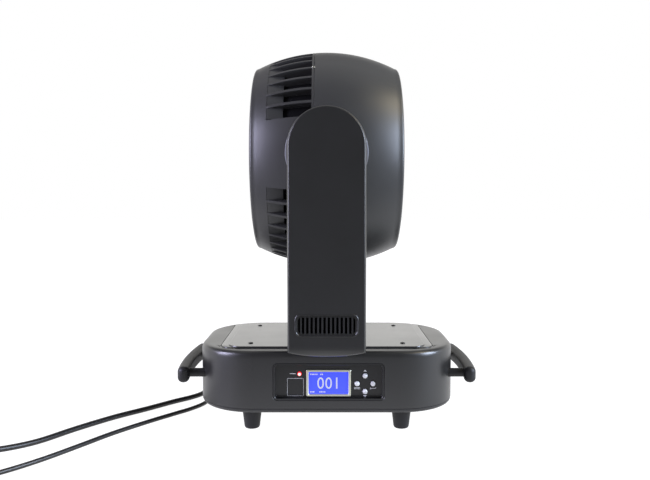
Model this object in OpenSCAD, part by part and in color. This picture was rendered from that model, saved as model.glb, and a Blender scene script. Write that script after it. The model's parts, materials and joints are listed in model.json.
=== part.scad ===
// LED wash moving head light: base with control panel, pan yoke, tilt head with motorised zoom.
// Row frame: origin on the floor under the pan axis, +X is the beam at rest, -Y is the panel side, +Z up.

/* [Base] */
// Width of the base housing, end to end
base_w = 350; // [330:1:420]
// Depth of the base housing, panel to sockets
base_d = 218; // [210:1:260]
// Height of the base housing, without feet
base_h = 82; // [80:1:110]
// Plan radius of the base corners
base_corner_r = 77; // [62:1:80]
// Fillet round the top edge of the base
base_top_fillet = 15; // [8:1:18]
// Fillet round the bottom edge of the base
base_bottom_fillet = 5.5; // [4:0.5:5.5]
// Wall thickness of the base housing
base_wall = 3; // [2:0.5:3.5]
// Height of the rubber feet
foot_h = 28; // [15:1:34]
// Radius of a foot at its top
foot_r = 13.5; // [10:0.5:15]
// Width of the raised deck plate on the base
plate_w = 286; // [260:1:300]
// Depth of the raised deck plate
plate_d = 172; // [164:1:178]
// Thickness of the raised deck plate
plate_t = 2; // [1.5:0.5:4]

/* [Control panel] */
// Width of the control panel recess
panel_w = 146; // [142:1:170]
// Height of the control panel recess
panel_h = 49; // [48:1:52]
// Sideways place of the recess centre
panel_x = 2.5; // [-10:0.5:10]
// Depth of the control panel recess
panel_depth = 7.5; // [5:0.5:9]
// Width of the display window
lcd_w = 52; // [44:1:56]
// Height of the display window
lcd_h = 29; // [24:1:30]
// Radius of a menu button
button_r = 3.2; // [2.6:0.1:4]
// Distance of each menu button from the middle of its cross
button_offset = 10.5; // [9:0.5:12]
// Press travel of a menu button
button_travel = 0.8; // [0.5:0.1:1]

/* [Handles] */
// How far a carrying handle stands out from the end of the base
handle_reach = 32; // [28:1:50]
// Width of the grip, seen from above
grip_w = 16; // [14:1:18]
// Height of the grip
grip_h = 22; // [16:1:24]
// Distance between the two stubs of a handle
grip_span = 124; // [108:2:128]
// Radius of the stubs of a handle
stub_r = 6; // [5:0.5:7]

/* [Yoke] */
// Height of the tilt axis above the floor
tilt_z = 365; // [350:1:460]
// Width of a yoke arm
arm_w = 92; // [86:1:104]
// Depth of a yoke arm, inner face to outer face
arm_depth = 46; // [42:1:60]
// Gap between the widest part of the head and a yoke arm
arm_gap = 8; // [5:0.5:14]
// Wall thickness of the yoke covers
cover_wall = 3; // [2:0.5:3]
// Height of the cover over the yoke bridge
bridge_h = 66; // [62:1:72]

/* [Head] */
// Length of the head along the beam
head_len = 196; // [180:1:230]
// Radius of the head at its ends
head_end_r = 125; // [122:1:132]
// Radius of the head at its middle
head_mid_r = 149; // [145:1:156]
// Wall thickness of the head shells
head_wall = 3; // [2:0.5:3.5]
// Place of the joint between the rear and front shells
seam_x = -16; // [-20:1:-14]
// Number of vent slots in the upper half, and in the lower half
vent_count = 18; // [8:1:22]
// Radius of the pivot disc on each side of the head
pivot_r = 51; // [46:1:54]

/* [Optics] */
// Radius of one zoom lens
lens_r = 14.8; // [12:0.2:15.4]
// Distance between neighbouring lenses
lens_pitch = 32; // [31:0.5:33]
// Travel of the zoom carrier
zoom_travel = 22; // [10:1:26]

/* [Drives] */
// Outer radius of the hollow pan shaft
pan_shaft_r = 30; // [24:1:34]
// Pitch radius of the large pan pulley
pan_pulley_r = 62; // [50:1:64]
// Pitch radius of the pan motor pulley
pan_pinion_r = 12; // [9:0.5:14]
// Outer radius of the trunnion shafts
trunnion_r = 15; // [12:0.5:17]
// Pitch radius of the large tilt pulley
tilt_pulley_r = 38; // [30:1:38]
// Pitch radius of the tilt motor pulley
tilt_pinion_r = 9; // [7:0.5:10]
// Radial clearance of a shaft in its bearing
run_fit = 0.05; // [0.02:0.01:0.08]

/* [Cables] */
// Diameter of the mains lead
mains_d = 7.5; // [7:0.1:8]
// Diameter of the signal lead
signal_d = 6; // [5:0.1:6.5]

/* [Hidden] */
$fn = 64;
eps = 0.01;
play = 0.5;                                     // gap round a part that moves past another

// Heights of the base
pan_h = 6;
pan_t = 2.5;
shell_z = foot_h + pan_h;
base_top = foot_h + base_h;
deck_z = base_top + plate_t;
pan_floor = foot_h + pan_t;
ledge = 5;
plate_corner = 16;
deck_t = 4;
deck_screw = [plate_w / 2 - 39, plate_d / 2 - 22];
screw_r = 2.2;
screw_head_r = 4;

// Control panel
panel_y = -base_d / 2;
panel_low = 11.5;                               // from the lower edge of the shell to the recess
panel_z = shell_z + panel_low + panel_h / 2;
panel_floor_t = 2.5;
panel_face_y = panel_y + panel_depth;
panel_back_y = panel_face_y + panel_floor_t;
panel_rim = 2.5;
board_y = panel_back_y + 5.8;
board_t = 1.6;
bezel_rim = [3.3, 3.2];
bezel_t = 3;
lcd_z = panel_z - 2.8;
buttons_x = panel_x + 48;
buttons_z = panel_z - 3.9;
led_x = panel_x - 38.3;
led_z = panel_z + 9.3;
led_r = 2.5;

// Handles
handle_z = foot_h + 43;
bow_r = 600;
grip_end = 10;                                  // from a stub to the end of the straight grip
bow_angle = asin((grip_span / 2 + grip_end) / bow_r);
bow_x = bow_r * (1 - cos(bow_angle));
grip_x = base_w / 2 + handle_reach - grip_w / 2;
grip_round = 7;
stub_in = 10;
corner_y = grip_span / 2 - (base_d / 2 - base_corner_r);
stub_end_x = base_w / 2 - base_corner_r - stub_in
             + sqrt(pow(base_corner_r - base_wall, 2) - pow(max(corner_y, 0), 2));

// Rear panel
rear_w = 160;
rear_h = 50;
rear_t = 2;
rear_out = base_d / 2 - base_wall;
lead_z = foot_h + 32;
gland_x = 20;
gland_l = 35;
gland_thread_r = 7;
socket_x = -60;
socket_xs = [-60, -24];
socket_r = 11;
socket_bore_r = 9.5;
fuse_x = 55;
fuse_r = 6;

// Fixings under the base
lock_x = 70;
lock_y = 53;
lock_r = 6.5;
lock_boss_r = 12;
lock_boss_h = 8;
foot_x = 101;
foot_y = 78;

// Pan drive
pan_bore_r = pan_shaft_r - 8;
shaft_bottom = foot_h + 40;
shaft_flange_t = 4;
pulley_z = shaft_bottom + shaft_flange_t;
pulley_h = 12;
groove_h = 9;
flange_lip = 3;
belt_h = 8;
belt_t = 1.5;
bearing_drop = 20;
bearing_wall = 16;
pan_motor_x = -105;
pan_motor_w = 57;
pan_motor_h = pulley_z - 3 - pan_floor;
motor_shaft_r = 4;

// Yoke
yoke_frame_z = base_top + 21;
frame_t = 4;
bridge_z = base_top + 10;
bridge_top = bridge_z + bridge_h;
arm_in = head_mid_r + arm_gap;
arm_out = arm_in + arm_depth;
arm_split = arm_in + 19;
arm_r = arm_w / 2;
arm_bottom = base_top + 12;
arm_sag = 6.5;
arm_sag_r = (arm_r * arm_r + arm_sag * arm_sag) / (2 * arm_sag);
arm_rise = 5;                                   // from the tilt axis up to the middle of the round top
arm_foot_r = 16;
frame_w = arm_w - 20;
frame_in = arm_in + 11;
bearing_boss_r = 24;
bearing_boss_in = arm_in + 5;
bearing_boss_out = frame_in + frame_t + 6;
grille_w = 70;
grille_h = 22.5;
grille_z = arm_bottom + 40;
grille_rim = 2;
rib_count = 13;
rib_w = 2.2;
rib_pitch = 5;

// Tilt drive
tilt_pulley_in = bearing_boss_out + 3;
tilt_motor_w = 42;
tilt_motor_l = 36;
tilt_motor_z = yoke_frame_z + frame_t + 1 + tilt_motor_w / 2;
tilt_shaft_r = 3;
trunnion_bore_r = trunnion_r - 5;
disc_out = head_mid_r + 6;
disc_in = head_mid_r - 23;
bracket_t = 4;
bracket_half = 46;
bracket_l = 62;

// Head
head_half = head_len / 2;
bulge = head_mid_r - head_end_r;
barrel_r = (head_half * head_half + bulge * bulge) / (2 * bulge);
edge_r = 4;
end_x = head_half - edge_r;
barrel_steps = 14;
lip_r = head_end_r - 7;
chassis_x = seam_x;
chassis_t = 4;
chassis_r = head_mid_r - 7;
wire_hole_r = 112;                              // from the beam axis to the holes for the wiring
flange_t = 3;
flange_r = chassis_r - 4;
front_flange_x = chassis_x + chassis_t;
shell_screw_r = 1.5;
shell_screw_l = 8;
vent_from = 18;
vent_x0 = -head_half + 22;
vent_x1 = seam_x - 3;
slat_angle = 1;
slat_t = 2.4;
slat_depth = 10;
ramp_x = vent_x0 + 21;                          // inner end of the sloping floor of the slots
// Angles of the vent slots and slats, upper half then lower half
vent_pitch = (180 - 2 * vent_from) / vent_count;
vent_angles = [for (half = [0, 180], i = [0:vent_count - 1]) half + vent_from + (i + 0.5) * vent_pitch];
slat_angles = [for (half = [0, 180], i = [1:vent_count - 1]) half + vent_from + i * vent_pitch];
screw_angles = [50, 130, 230, 310];
fan_w = 120;
fan_t = 25;
fan_bore_r = 57;
fan_x = -head_half + head_wall;
sink_w = 176;
sink_base_t = 6;
sink_fin_t = 2.5;
sink_fins = 16;
sink_x0 = fan_x + fan_t + 8;
pcb_t = 1.6;
led_chip = 5;

// Zoom
lens_rings = 3;
carrier_t = 3;
carrier_r = head_end_r - 10;
carrier_x = 60;
lens_h = 9;
lens_hole_r = lens_r - 2;
rod_r = 3;
rod_ring_r = 108;
rod_x1 = 84;
screw_x1 = 80;
zoom_motor_r = 14;
zoom_motor_l = 18;
rod_angles = [150, 330];
lead_angles = [30, 210];

// Leads: the points of each free stretch, chosen by hand, in millimetres
mains_pts = [[20, 141, 60], [20, 152, 60], [18, 164, 58], [13, 177, 52], [4, 189, 43], [-9, 199, 33],
             [-25, 206, 23], [-43, 211, 14], [-62, 214, 8], [-82, 214, 5], [-106, 210, 4], [-131, 201, 4],
             [-154, 184, 4], [-171, 159, 4], [-182, 130, 4], [-189, 98, 4], [-195, 67, 4], [-208, 46, 4],
             [-230, 24, 4], [-262, -12, 4], [-298, -50, 4], [-334, -98, 4], [-364, -144, 4],
             [-390, -178, 7.5], [-412, -206, 14], [-432, -233, 20.5], [-450, -257, 22]];
signal_pts = [[-60, 158, 60], [-60, 168, 60], [-61, 179, 58], [-66, 189, 52], [-75, 196, 44],
              [-88, 199, 35], [-102, 197, 25], [-116, 190, 15], [-129, 180, 8], [-141, 166, 4],
              [-151, 149, 3], [-160, 127, 3], [-168, 102, 3], [-175, 73, 3], [-179, 44, 3],
              [-184, 17, 3], [-198, -8, 3], [-217, -31, 3], [-246, -66, 3], [-280, -112, 3],
              [-308, -158, 3], [-336, -202, 3], [-364, -240, 4], [-386, -270, 8],
              [-409, -303, 17], [-431, -335, 22]];
mains_coil_r = 41;
mains_turns = 2.4;
mains_coil_at = [-482, -231];
signal_coil_r = 35;
signal_turns = 3.15;
signal_coil_at = [-460, -315];
tail_flat = 20;
plug_r = 16;
plug_run = 36;
end_r = socket_bore_r + 1;
end_run = 26;
turn_gap = 0.1;
ring_gap = 33;

// ---- helpers ----

// Cylinder along +X from x
module rod_x(x, len, r) {
    translate([x, 0, 0]) rotate([0, 90, 0]) cylinder(h = len, r = r);
}

// Cylinder along +Y from y
module rod_y(y, len, r) {
    translate([0, y, 0]) rotate([-90, 0, 0]) cylinder(h = len, r = r);
}

// A flat outline in X and Z, given thickness along +Y from y
module outline_y(y, len) {
    translate([0, y + len, 0]) rotate([90, 0, 0]) linear_extrude(len) children();
}

// A flat outline in Y and Z, given length along +X from x
module outline_x(x, len) {
    translate([x, 0, 0]) rotate([90, 0, 90]) linear_extrude(len) children();
}

// A profile of (radius, place along Y) turned about the Y axis
module turned_y() {
    rotate([-90, 0, 0]) rotate_extrude() children();
}

// A profile of (radius, place along X) turned about the X axis
module turned_x() {
    rotate([0, 90, 0]) rotate_extrude() children();
}

module round_rect(w, h, r) {
    square([w - 2 * r, h], center = true);
    square([w, h - 2 * r], center = true);
    for (sx = [-1, 1], sy = [-1, 1])
        translate([sx * (w / 2 - r), sy * (h / 2 - r)]) circle(r);
}

// Section through the edge of a slab: from the corner centre out to r, with rounded outer corners
module edge_profile(r, h, top_r, bottom_r) {
    translate([0, bottom_r]) square([r, h - top_r - bottom_r]);
    if (top_r > 0) {
        translate([0, h - top_r - eps]) square([r - top_r, top_r + eps]);
        translate([r - top_r, h - top_r]) circle(top_r);
    }
    if (bottom_r > 0) {
        square([r - bottom_r, bottom_r + eps]);
        intersection() {
            translate([r - bottom_r, bottom_r]) circle(bottom_r);
            square([r, bottom_r + eps]);
        }
    }
}

// Slab with plan corners of radius r and rounded top and bottom edges, standing on z = 0
module rounded_slab(w, d, h, r, top_r, bottom_r) {
    for (q = [0:3]) {
        sx = (q == 0 || q == 3) ? 1 : -1;
        sy = q < 2 ? 1 : -1;
        translate([sx * (w / 2 - r), sy * (d / 2 - r), 0])
            rotate(90 * q) rotate_extrude(angle = 90) edge_profile(r, h, top_r, bottom_r);
    }
    for (s = [0, 180]) {
        rotate(s) translate([0, d / 2 - r, 0]) outline_x(-w / 2 + r, w - 2 * r)
            edge_profile(r, h, top_r, bottom_r);
        rotate(s) translate([w / 2 - r, 0, 0]) outline_y(-d / 2 + r, d - 2 * r)
            edge_profile(r, h, top_r, bottom_r);
    }
    translate([-w / 2 + r, -d / 2 + r, 0]) cube([w - 2 * r, d - 2 * r, h]);
}

// Outer edge of a toothed belt wheel with two flanges, turned about its own axis
module wheel_profile(bore, r, h, groove) {
    lip = (h - groove) / 2;
    translate([bore, 0]) square([r + flange_lip - bore, lip]);
    translate([bore, lip]) square([r - bore, groove]);
    translate([bore, lip + groove]) square([r + flange_lip - bore, lip]);
}

// Flat belt of width h round two wheels a distance gap apart along +X: two arcs and two straight runs
// that are a hair thicker, so that they overlap the ends of the arcs cleanly
module belt_loop(r1, r2, gap, h) {
    a = asin((r1 - r2) / gap);
    lap = 0.5;
    more = 0.1;
    rotate(90 - a) rotate_extrude(angle = 180 + 2 * a) translate([r1, 0]) square([belt_t, h]);
    translate([gap, 0, 0]) rotate(a - 90) rotate_extrude(angle = 180 - 2 * a)
        translate([r2, 0]) square([belt_t, h]);
    for (s = [1, -1]) linear_extrude(h) polygon([
        for (q = [[-lap, -more], [gap * cos(a) + lap, -more], [gap * cos(a) + lap, belt_t + more],
                  [-lap, belt_t + more]])
            q[0] * [cos(a), -s * sin(a)] + (r1 + q[1]) * [sin(a), s * cos(a)]]);
}

// ---- base ----

// Tray with four welded quarter-turn sockets for the hanging brackets
module bottom_pan() {
    color("#2b2b2d") difference() {
        union() {
            difference() {
                translate([0, 0, foot_h])
                    rounded_slab(base_w, base_d, pan_h, base_corner_r, 0, base_bottom_fillet);
                translate([0, 0, pan_floor])
                    rounded_slab(base_w - 2 * base_wall, base_d - 2 * base_wall, pan_h,
                                 base_corner_r - base_wall, 0, 0);
            }
            for (sx = [-1, 1], sy = [-1, 1])
                translate([sx * lock_x, sy * lock_y, foot_h + 1])
                    cylinder(h = pan_t - 1 + lock_boss_h, r = lock_boss_r);
        }
        for (sx = [-1, 1], sy = [-1, 1])
            translate([sx * lock_x, sy * lock_y, foot_h - 1])
                cylinder(h = pan_t + lock_boss_h + 2, r = lock_r);
    }
}

module base_shell() {
    h = base_top - shell_z;
    color("#2f2f31") difference() {
        translate([0, 0, shell_z])
            rounded_slab(base_w, base_d, h, base_corner_r, base_top_fillet, 0);
        translate([0, 0, shell_z - 1])
            rounded_slab(base_w - 2 * base_wall, base_d - 2 * base_wall, h + 1 - base_wall,
                         base_corner_r - base_wall, base_top_fillet - base_wall, 0);
        translate([0, 0, base_top - base_wall - 1]) linear_extrude(base_wall + 2)
            round_rect(plate_w - 2 * ledge, plate_d - 2 * ledge, plate_corner - ledge);
        outline_y(-base_d / 2 - 1, base_wall + 2)
            translate([panel_x, panel_z]) round_rect(panel_w, panel_h, 6);
        outline_y(base_d / 2 - base_wall - 1, base_wall + 2)
            translate([0, lead_z]) round_rect(rear_w - 8, rear_h - 8, 4);
        for (sy = [-1, 1])
            translate([0, sy * grip_span / 2, handle_z]) rod_x(-base_w, 2 * base_w, stub_r);
    }
}

module deck_plate() {
    color("#3a3a3c") translate([0, 0, base_top]) linear_extrude(plate_t) difference() {
        round_rect(plate_w, plate_d, plate_corner);
        circle(pan_shaft_r + 3);
        for (sx = [-1, 1], sy = [-1, 1])
            translate([sx * deck_screw[0], sy * deck_screw[1]]) circle(screw_r);
    }
}

module deck_screws() {
    color("#58585c")
        for (sx = [-1, 1], sy = [-1, 1])
            translate([sx * deck_screw[0], sy * deck_screw[1], 0]) {
                translate([0, 0, base_top - deck_t]) cylinder(h = deck_t + plate_t, r = screw_r);
                translate([0, 0, deck_z]) cylinder(h = 1.5, r = screw_head_r);
            }
}

// Bridge plate under the deck, with the pan bearing and its four pillars
module bearing_deck() {
    w = 2 * deck_screw[0] + 24;
    d = 2 * deck_screw[1] + 20;
    color("#8a8c90") difference() {
        union() {
            translate([0, 0, base_top - deck_t]) linear_extrude(deck_t) round_rect(w, d, 8);
            translate([0, 0, base_top - deck_t - bearing_drop])
                cylinder(h = bearing_drop + deck_t, r = pan_shaft_r + bearing_wall);
            for (sx = [-1, 1], sy = [-1, 1])
                translate([sx * deck_screw[0], sy * deck_screw[1], pan_floor])
                    cylinder(h = base_top - deck_t - pan_floor + eps, r = 6);
        }
        translate([0, 0, base_top - deck_t - bearing_drop - 1])
            cylinder(h = bearing_drop + deck_t + 2, r = pan_shaft_r + run_fit);
        for (sx = [-1, 1], sy = [-1, 1])
            translate([sx * deck_screw[0], sy * deck_screw[1], base_top - deck_t])
                cylinder(h = deck_t + 1, r = screw_r);
    }
}

function button_at(i) = [buttons_x + button_offset * cos(90 * i), buttons_z + button_offset * sin(90 * i)];

module control_panel() {
    color("#242426") difference() {
        outline_y(panel_y, panel_depth + panel_floor_t)
            translate([panel_x, panel_z]) round_rect(panel_w, panel_h, 6);
        outline_y(panel_y - 1, panel_depth + 1)
            translate([panel_x, panel_z])
                round_rect(panel_w - 2 * panel_rim, panel_h - 2 * panel_rim, 4);
        outline_y(panel_y, panel_depth + panel_floor_t + 1)
            translate([panel_x, lcd_z]) square([lcd_w, lcd_h], center = true);
        for (i = [0:3])
            translate([button_at(i)[0], 0, button_at(i)[1]])
                rod_y(panel_y, panel_depth + panel_floor_t + 1, button_r + 0.3);
        translate([led_x, 0, led_z]) rod_y(panel_y, panel_depth + panel_floor_t + 1, led_r);
    }
}

module lcd_bezel() {
    color("#b9babd") outline_y(panel_face_y - bezel_t, bezel_t) translate([panel_x, lcd_z]) difference() {
        round_rect(lcd_w + 2 * bezel_rim[0], lcd_h + 2 * bezel_rim[1], 1.5);
        square([lcd_w, lcd_h], center = true);
    }
}

module lcd_screen() {
    color("#4a5cff") translate([panel_x, (panel_face_y - 1.6 + board_y) / 2, lcd_z])
        cube([lcd_w, board_y - panel_face_y + 1.6, lcd_h], center = true);
}

// Circuit board behind the panel, with a switch behind each button and the status lamp
module control_board() {
    color("#1d5a3a") {
        translate([panel_x - panel_w / 2 + 5, board_y, panel_z - panel_h / 2 + 4])
            cube([panel_w - 10, board_t, panel_h - 8]);
        for (i = [0:3])
            translate([button_at(i)[0] - 3, board_y - 2.9, button_at(i)[1] - 3]) cube([6, 2.9 + eps, 6]);
        translate([led_x, 0, led_z]) {
            rod_y(panel_face_y - 1.5, board_y - panel_face_y + 1.5 + eps, led_r);
            translate([0, panel_face_y - 1.5, 0]) sphere(led_r);
        }
    }
}

module menu_button(i) {
    color("#c9c9cc") translate([button_at(i)[0], 0, button_at(i)[1]]) {
        translate([0, panel_face_y, 0]) turned_y() polygon([[0, -3.6], [0.45 * button_r, -3.45],
            [0.75 * button_r, -3.15], [0.93 * button_r, -2.7], [button_r, -2.1],
            [button_r, panel_floor_t + 0.4], [button_r + 1.2, panel_floor_t + 0.4],
            [button_r + 1.2, panel_floor_t + 1.6], [0, panel_floor_t + 1.6]]);
    }
}
module button_right() { menu_button(0); }
module button_up() { menu_button(1); }
module button_left() { menu_button(2); }
module button_down() { menu_button(3); }

// Half section of the rounded end of the grip, a hair smaller than the grip itself
module grip_half() {
    less = 0.15;
    intersection() {
        round_rect(grip_w - 2 * less, grip_h - 2 * less, grip_round - less);
        translate([0, -grip_h]) square([grip_w, 2 * grip_h]);
    }
}

// Bowed grip on two stubs that pass through the end of the base
module handle() {
    color("#262628") translate([0, 0, handle_z]) {
        translate([grip_x - bow_r, 0, 0]) rotate(-bow_angle) rotate_extrude(angle = 2 * bow_angle)
            translate([bow_r, 0]) round_rect(grip_w, grip_h, grip_round);
        for (s = [-1, 1])
            translate([grip_x - bow_x, s * bow_r * sin(bow_angle), 0]) rotate_extrude() grip_half();
        for (s = [-1, 1])
            translate([0, s * grip_span / 2, 0])
                rod_x(stub_end_x, grip_x - bow_x - stub_end_x, stub_r);
    }
}
module handle_right() { handle(); }
module handle_left() { mirror([1, 0, 0]) handle(); }

module foot(sx, sy) {
    color("#1b1b1c") translate([sx * foot_x, sy * foot_y, 0]) rotate_extrude() {
        polygon([[0, 0], [foot_r - 5, 0], [foot_r - 3.6, 1], [foot_r - 3, 3], [foot_r, foot_h],
                 [0, foot_h]]);
    }
}
module foot_fl() { foot(-1, -1); }
module foot_fr() { foot(1, -1); }
module foot_rl() { foot(-1, 1); }
module foot_rr() { foot(1, 1); }

module power_supply() {
    w = 72;
    d = 96;
    leg = pan_floor + lock_boss_h + 3;
    color("#a8a9ac") translate([75, -d / 2, 0]) {
        translate([0, 0, leg]) cube([w, d, pulley_z - 6 - leg]);
        for (x = [20, w - 8], y = [6, d - 6])
            translate([x, y, pan_floor]) cylinder(h = leg - pan_floor + eps, r = 3);
    }
}

module pan_motor() {
    color("#3c3d40") translate([pan_motor_x, 0, pan_floor]) difference() {
        translate([-pan_motor_w / 2, -pan_motor_w / 2, 0])
            cube([pan_motor_w, pan_motor_w, pan_motor_h]);
        translate([0, 0, 4]) cylinder(h = pan_motor_h, r = motor_shaft_r + run_fit);
    }
}

module pan_pinion() {
    color("#b4b5b8") translate([pan_motor_x, 0, 0]) {
        translate([0, 0, pan_floor + 5])
            cylinder(h = pulley_z + pulley_h - pan_floor - 5, r = motor_shaft_r);
        translate([0, 0, pulley_z]) rotate_extrude()
            wheel_profile(motor_shaft_r - eps, pan_pinion_r, pulley_h, groove_h);
    }
}

module pan_belt() {
    color("#151515") translate([0, 0, pulley_z + (pulley_h - belt_h) / 2]) rotate(180)
        belt_loop(pan_pulley_r + play, pan_pinion_r + play, -pan_motor_x, belt_h);
}

module rear_panel() {
    color("#343437") outline_y(rear_out - rear_t, rear_t) translate([0, lead_z]) difference() {
        round_rect(rear_w, rear_h, 5);
        translate([gland_x, 0]) circle(gland_thread_r);
        for (x = socket_xs) translate([x, 0]) circle(socket_r);
        translate([fuse_x, 0]) circle(fuse_r);
    }
}

// Cable gland with a nut inside the panel and a tapered strain relief outside
module mains_gland() {
    color("#1a1a1b") translate([gland_x, 0, lead_z]) {
        rod_y(rear_out - rear_t - 5, 5, gland_thread_r + 3);
        rod_y(rear_out - rear_t, rear_t, gland_thread_r);
        translate([0, rear_out, 0]) turned_y() polygon([[0, 0], [gland_thread_r + 4, 0],
            [gland_thread_r + 4, 5], [gland_thread_r + 2, 6], [gland_thread_r + 2, 12],
            [mains_d / 2 + 1, gland_l], [0, gland_l]]);
    }
}

// Two round signal sockets and the fuse holder, clamped to the rear panel
module signal_sockets() {
    color("#2a2a2c") {
        for (x = socket_xs) translate([x, 0, lead_z]) difference() {
            union() {
                outline_y(rear_out, 2) round_rect(26, 31, 3);
                rod_y(rear_out - 21, 21, socket_r);
            }
            rod_y(rear_out - 15, 20, socket_bore_r);
        }
        translate([fuse_x, 0, lead_z]) {
            rod_y(rear_out, 6, fuse_r + 2);
            rod_y(rear_out - 24, 24, fuse_r);
        }
    }
}

// ---- yoke ----

module pan_shaft() {
    color("#b9babd") rotate_extrude() polygon([
        [pan_bore_r, shaft_bottom], [pan_shaft_r + 6, shaft_bottom],
        [pan_shaft_r + 6, pulley_z], [pan_shaft_r, pulley_z],
        [pan_shaft_r, yoke_frame_z - shaft_flange_t], [pan_shaft_r + 5, yoke_frame_z - shaft_flange_t],
        [pan_shaft_r + 5, yoke_frame_z], [pan_bore_r, yoke_frame_z]]);
}

module pan_pulley() {
    color("#9b9da1") translate([0, 0, pulley_z]) rotate_extrude()
        wheel_profile(pan_shaft_r, pan_pulley_r, pulley_h, groove_h);
}

// Front outline of an arm: a round top a little above the tilt axis and a slightly sagging foot
module arm_outline(r) {
    inset = arm_r - r;
    intersection() {
        union() {
            translate([0, tilt_z + arm_rise]) circle(r);
            translate([-r, arm_bottom]) square([2 * r, tilt_z + arm_rise - arm_bottom]);
        }
        union() {
            translate([0, arm_bottom + arm_sag_r]) circle(arm_sag_r - inset);
            translate([-arm_w, arm_bottom + 2 * arm_sag]) square([2 * arm_w, tilt_z]);
        }
    }
}

// Steel channel: a bottom plate, two upright arms and a bearing boss at the top of each
module yoke_frame() {
    out = frame_in + frame_t;
    color("#8d8f93") difference() {
        union() {
            translate([-frame_w / 2, -frame_in, yoke_frame_z]) cube([frame_w, 2 * frame_in, frame_t]);
            for (y = [-out, frame_in]) outline_y(y, frame_t) {
                translate([0, tilt_z]) circle(frame_w / 2);
                translate([-frame_w / 2, yoke_frame_z]) square([frame_w, tilt_z - yoke_frame_z]);
            }
            for (s = [0, 180]) translate([0, 0, tilt_z]) rotate(s)
                rod_y(bearing_boss_in, bearing_boss_out - bearing_boss_in, bearing_boss_r);
        }
        translate([0, 0, yoke_frame_z - 1]) cylinder(h = frame_t + 2, r = pan_bore_r);
        translate([0, 0, tilt_z]) rod_y(-arm_out, 2 * arm_out, trunnion_r + run_fit);
        translate([0, 0, tilt_motor_z]) rod_y(-arm_out, 2 * arm_out, 8);
    }
}

// U-shaped inner moulding: the bridge over the pan shaft and the inner half of both arms
module yoke_cover() {
    half = arm_split - arm_in;
    color("#2c2c2e") difference() {
        union() {
            for (s = [0, 180]) rotate(s) outline_y(arm_in, half) arm_outline(arm_r);
            outline_y(-arm_in, 2 * arm_in) translate([0, (bridge_z + bridge_top) / 2]) {
                translate([0, -bridge_h / 4]) square([arm_w, bridge_h / 2], center = true);
                round_rect(arm_w, bridge_h, 10);
            }
        }
        for (s = [0, 180]) rotate(s) {
            outline_y(arm_in + cover_wall, half) arm_outline(arm_r - cover_wall);
            translate([0, 0, tilt_z]) rod_y(arm_in - 1, cover_wall + 2, trunnion_r + 2);
        }
        outline_y(-arm_in - cover_wall - 1, 2 * (arm_in + cover_wall + 1))
            translate([-arm_r + cover_wall + 7, yoke_frame_z - 1])
                square([arm_w - 2 * cover_wall - 14, bridge_top - cover_wall - yoke_frame_z + 1]);
        outline_y(-arm_in + cover_wall, 2 * (arm_in - cover_wall))
            translate([-arm_r + cover_wall, bridge_z - 1])
                square([arm_w - 2 * cover_wall, bridge_h - 10]);
    }
}

// Outer half of an arm, with a rounded foot and a ribbed cooling grille
module arm_cover() {
    depth = arm_out - arm_split;
    foot_edge = arm_bottom + arm_foot_r;
    color("#2e2e30") {
        difference() {
            outline_y(arm_split, depth) arm_outline(arm_r);
            outline_y(arm_split - 1, depth - cover_wall + 1) intersection() {
                arm_outline(arm_r - cover_wall);
                translate([-arm_w, foot_edge + 2]) square([2 * arm_w, tilt_z]);
            }
            outline_y(arm_split - 1, depth - arm_foot_r - cover_wall + 1)
                arm_outline(arm_r - cover_wall);
            outline_x(-arm_w, 2 * arm_w) difference() {
                translate([arm_out - arm_foot_r, arm_bottom - 5]) square(arm_foot_r + 5);
                translate([arm_out - arm_foot_r, foot_edge]) circle(arm_foot_r);
                translate([arm_out - arm_foot_r - 1, foot_edge]) square(arm_foot_r + 9);
            }
            outline_y(arm_out - 1.5, 2) translate([0, grille_z]) round_rect(grille_w, grille_h, 5);
            outline_y(arm_out - cover_wall - 1, cover_wall + 2) translate([0, grille_z])
                round_rect(grille_w - 2 * grille_rim, grille_h - 2 * grille_rim, 3.5);
        }
        for (i = [0:rib_count - 1])
            translate([(i - (rib_count - 1) / 2) * rib_pitch - rib_w / 2, arm_out - cover_wall,
                       grille_z - grille_h / 2 + 1])
                cube([rib_w, cover_wall - 1.5, grille_h - 2]);
    }
}
module arm_cover_far() { arm_cover(); }
module arm_cover_near() { rotate(180) arm_cover(); }

module tilt_motor() {
    color("#3c3d40") translate([0, 0, tilt_motor_z]) difference() {
        translate([-tilt_motor_w / 2, -frame_in, -tilt_motor_w / 2])
            cube([tilt_motor_w, tilt_motor_l, tilt_motor_w]);
        rod_y(-frame_in - 1, tilt_motor_l - 4, tilt_shaft_r + run_fit);
    }
}

module tilt_pinion() {
    shaft_in = frame_in - tilt_motor_l + 6;
    color("#b4b5b8") translate([0, 0, tilt_motor_z]) rotate(180) {
        rod_y(shaft_in, tilt_pulley_in + pulley_h - shaft_in, tilt_shaft_r);
        translate([0, tilt_pulley_in, 0]) turned_y()
            wheel_profile(tilt_shaft_r - eps, tilt_pinion_r, pulley_h, groove_h);
    }
}

module tilt_belt() {
    in = tilt_pulley_in + (pulley_h - belt_h) / 2;
    color("#151515") translate([0, -in, tilt_z]) rotate([90, 90, 0])
        belt_loop(tilt_pulley_r + play, tilt_pinion_r + play, tilt_z - tilt_motor_z, belt_h);
}

// ---- head ----

// Radius of the barrel at a distance x from its middle
function barrel(x) = sqrt(barrel_r * barrel_r - x * x) - barrel_r + head_mid_r;
// Points (radius, x) along the barrel, set in by t
function barrel_line(x0, x1, t) =
    [for (i = [0:barrel_steps]) let (x = x0 + (x1 - x0) * i / barrel_steps) [barrel(x) - t, x]];

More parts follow.
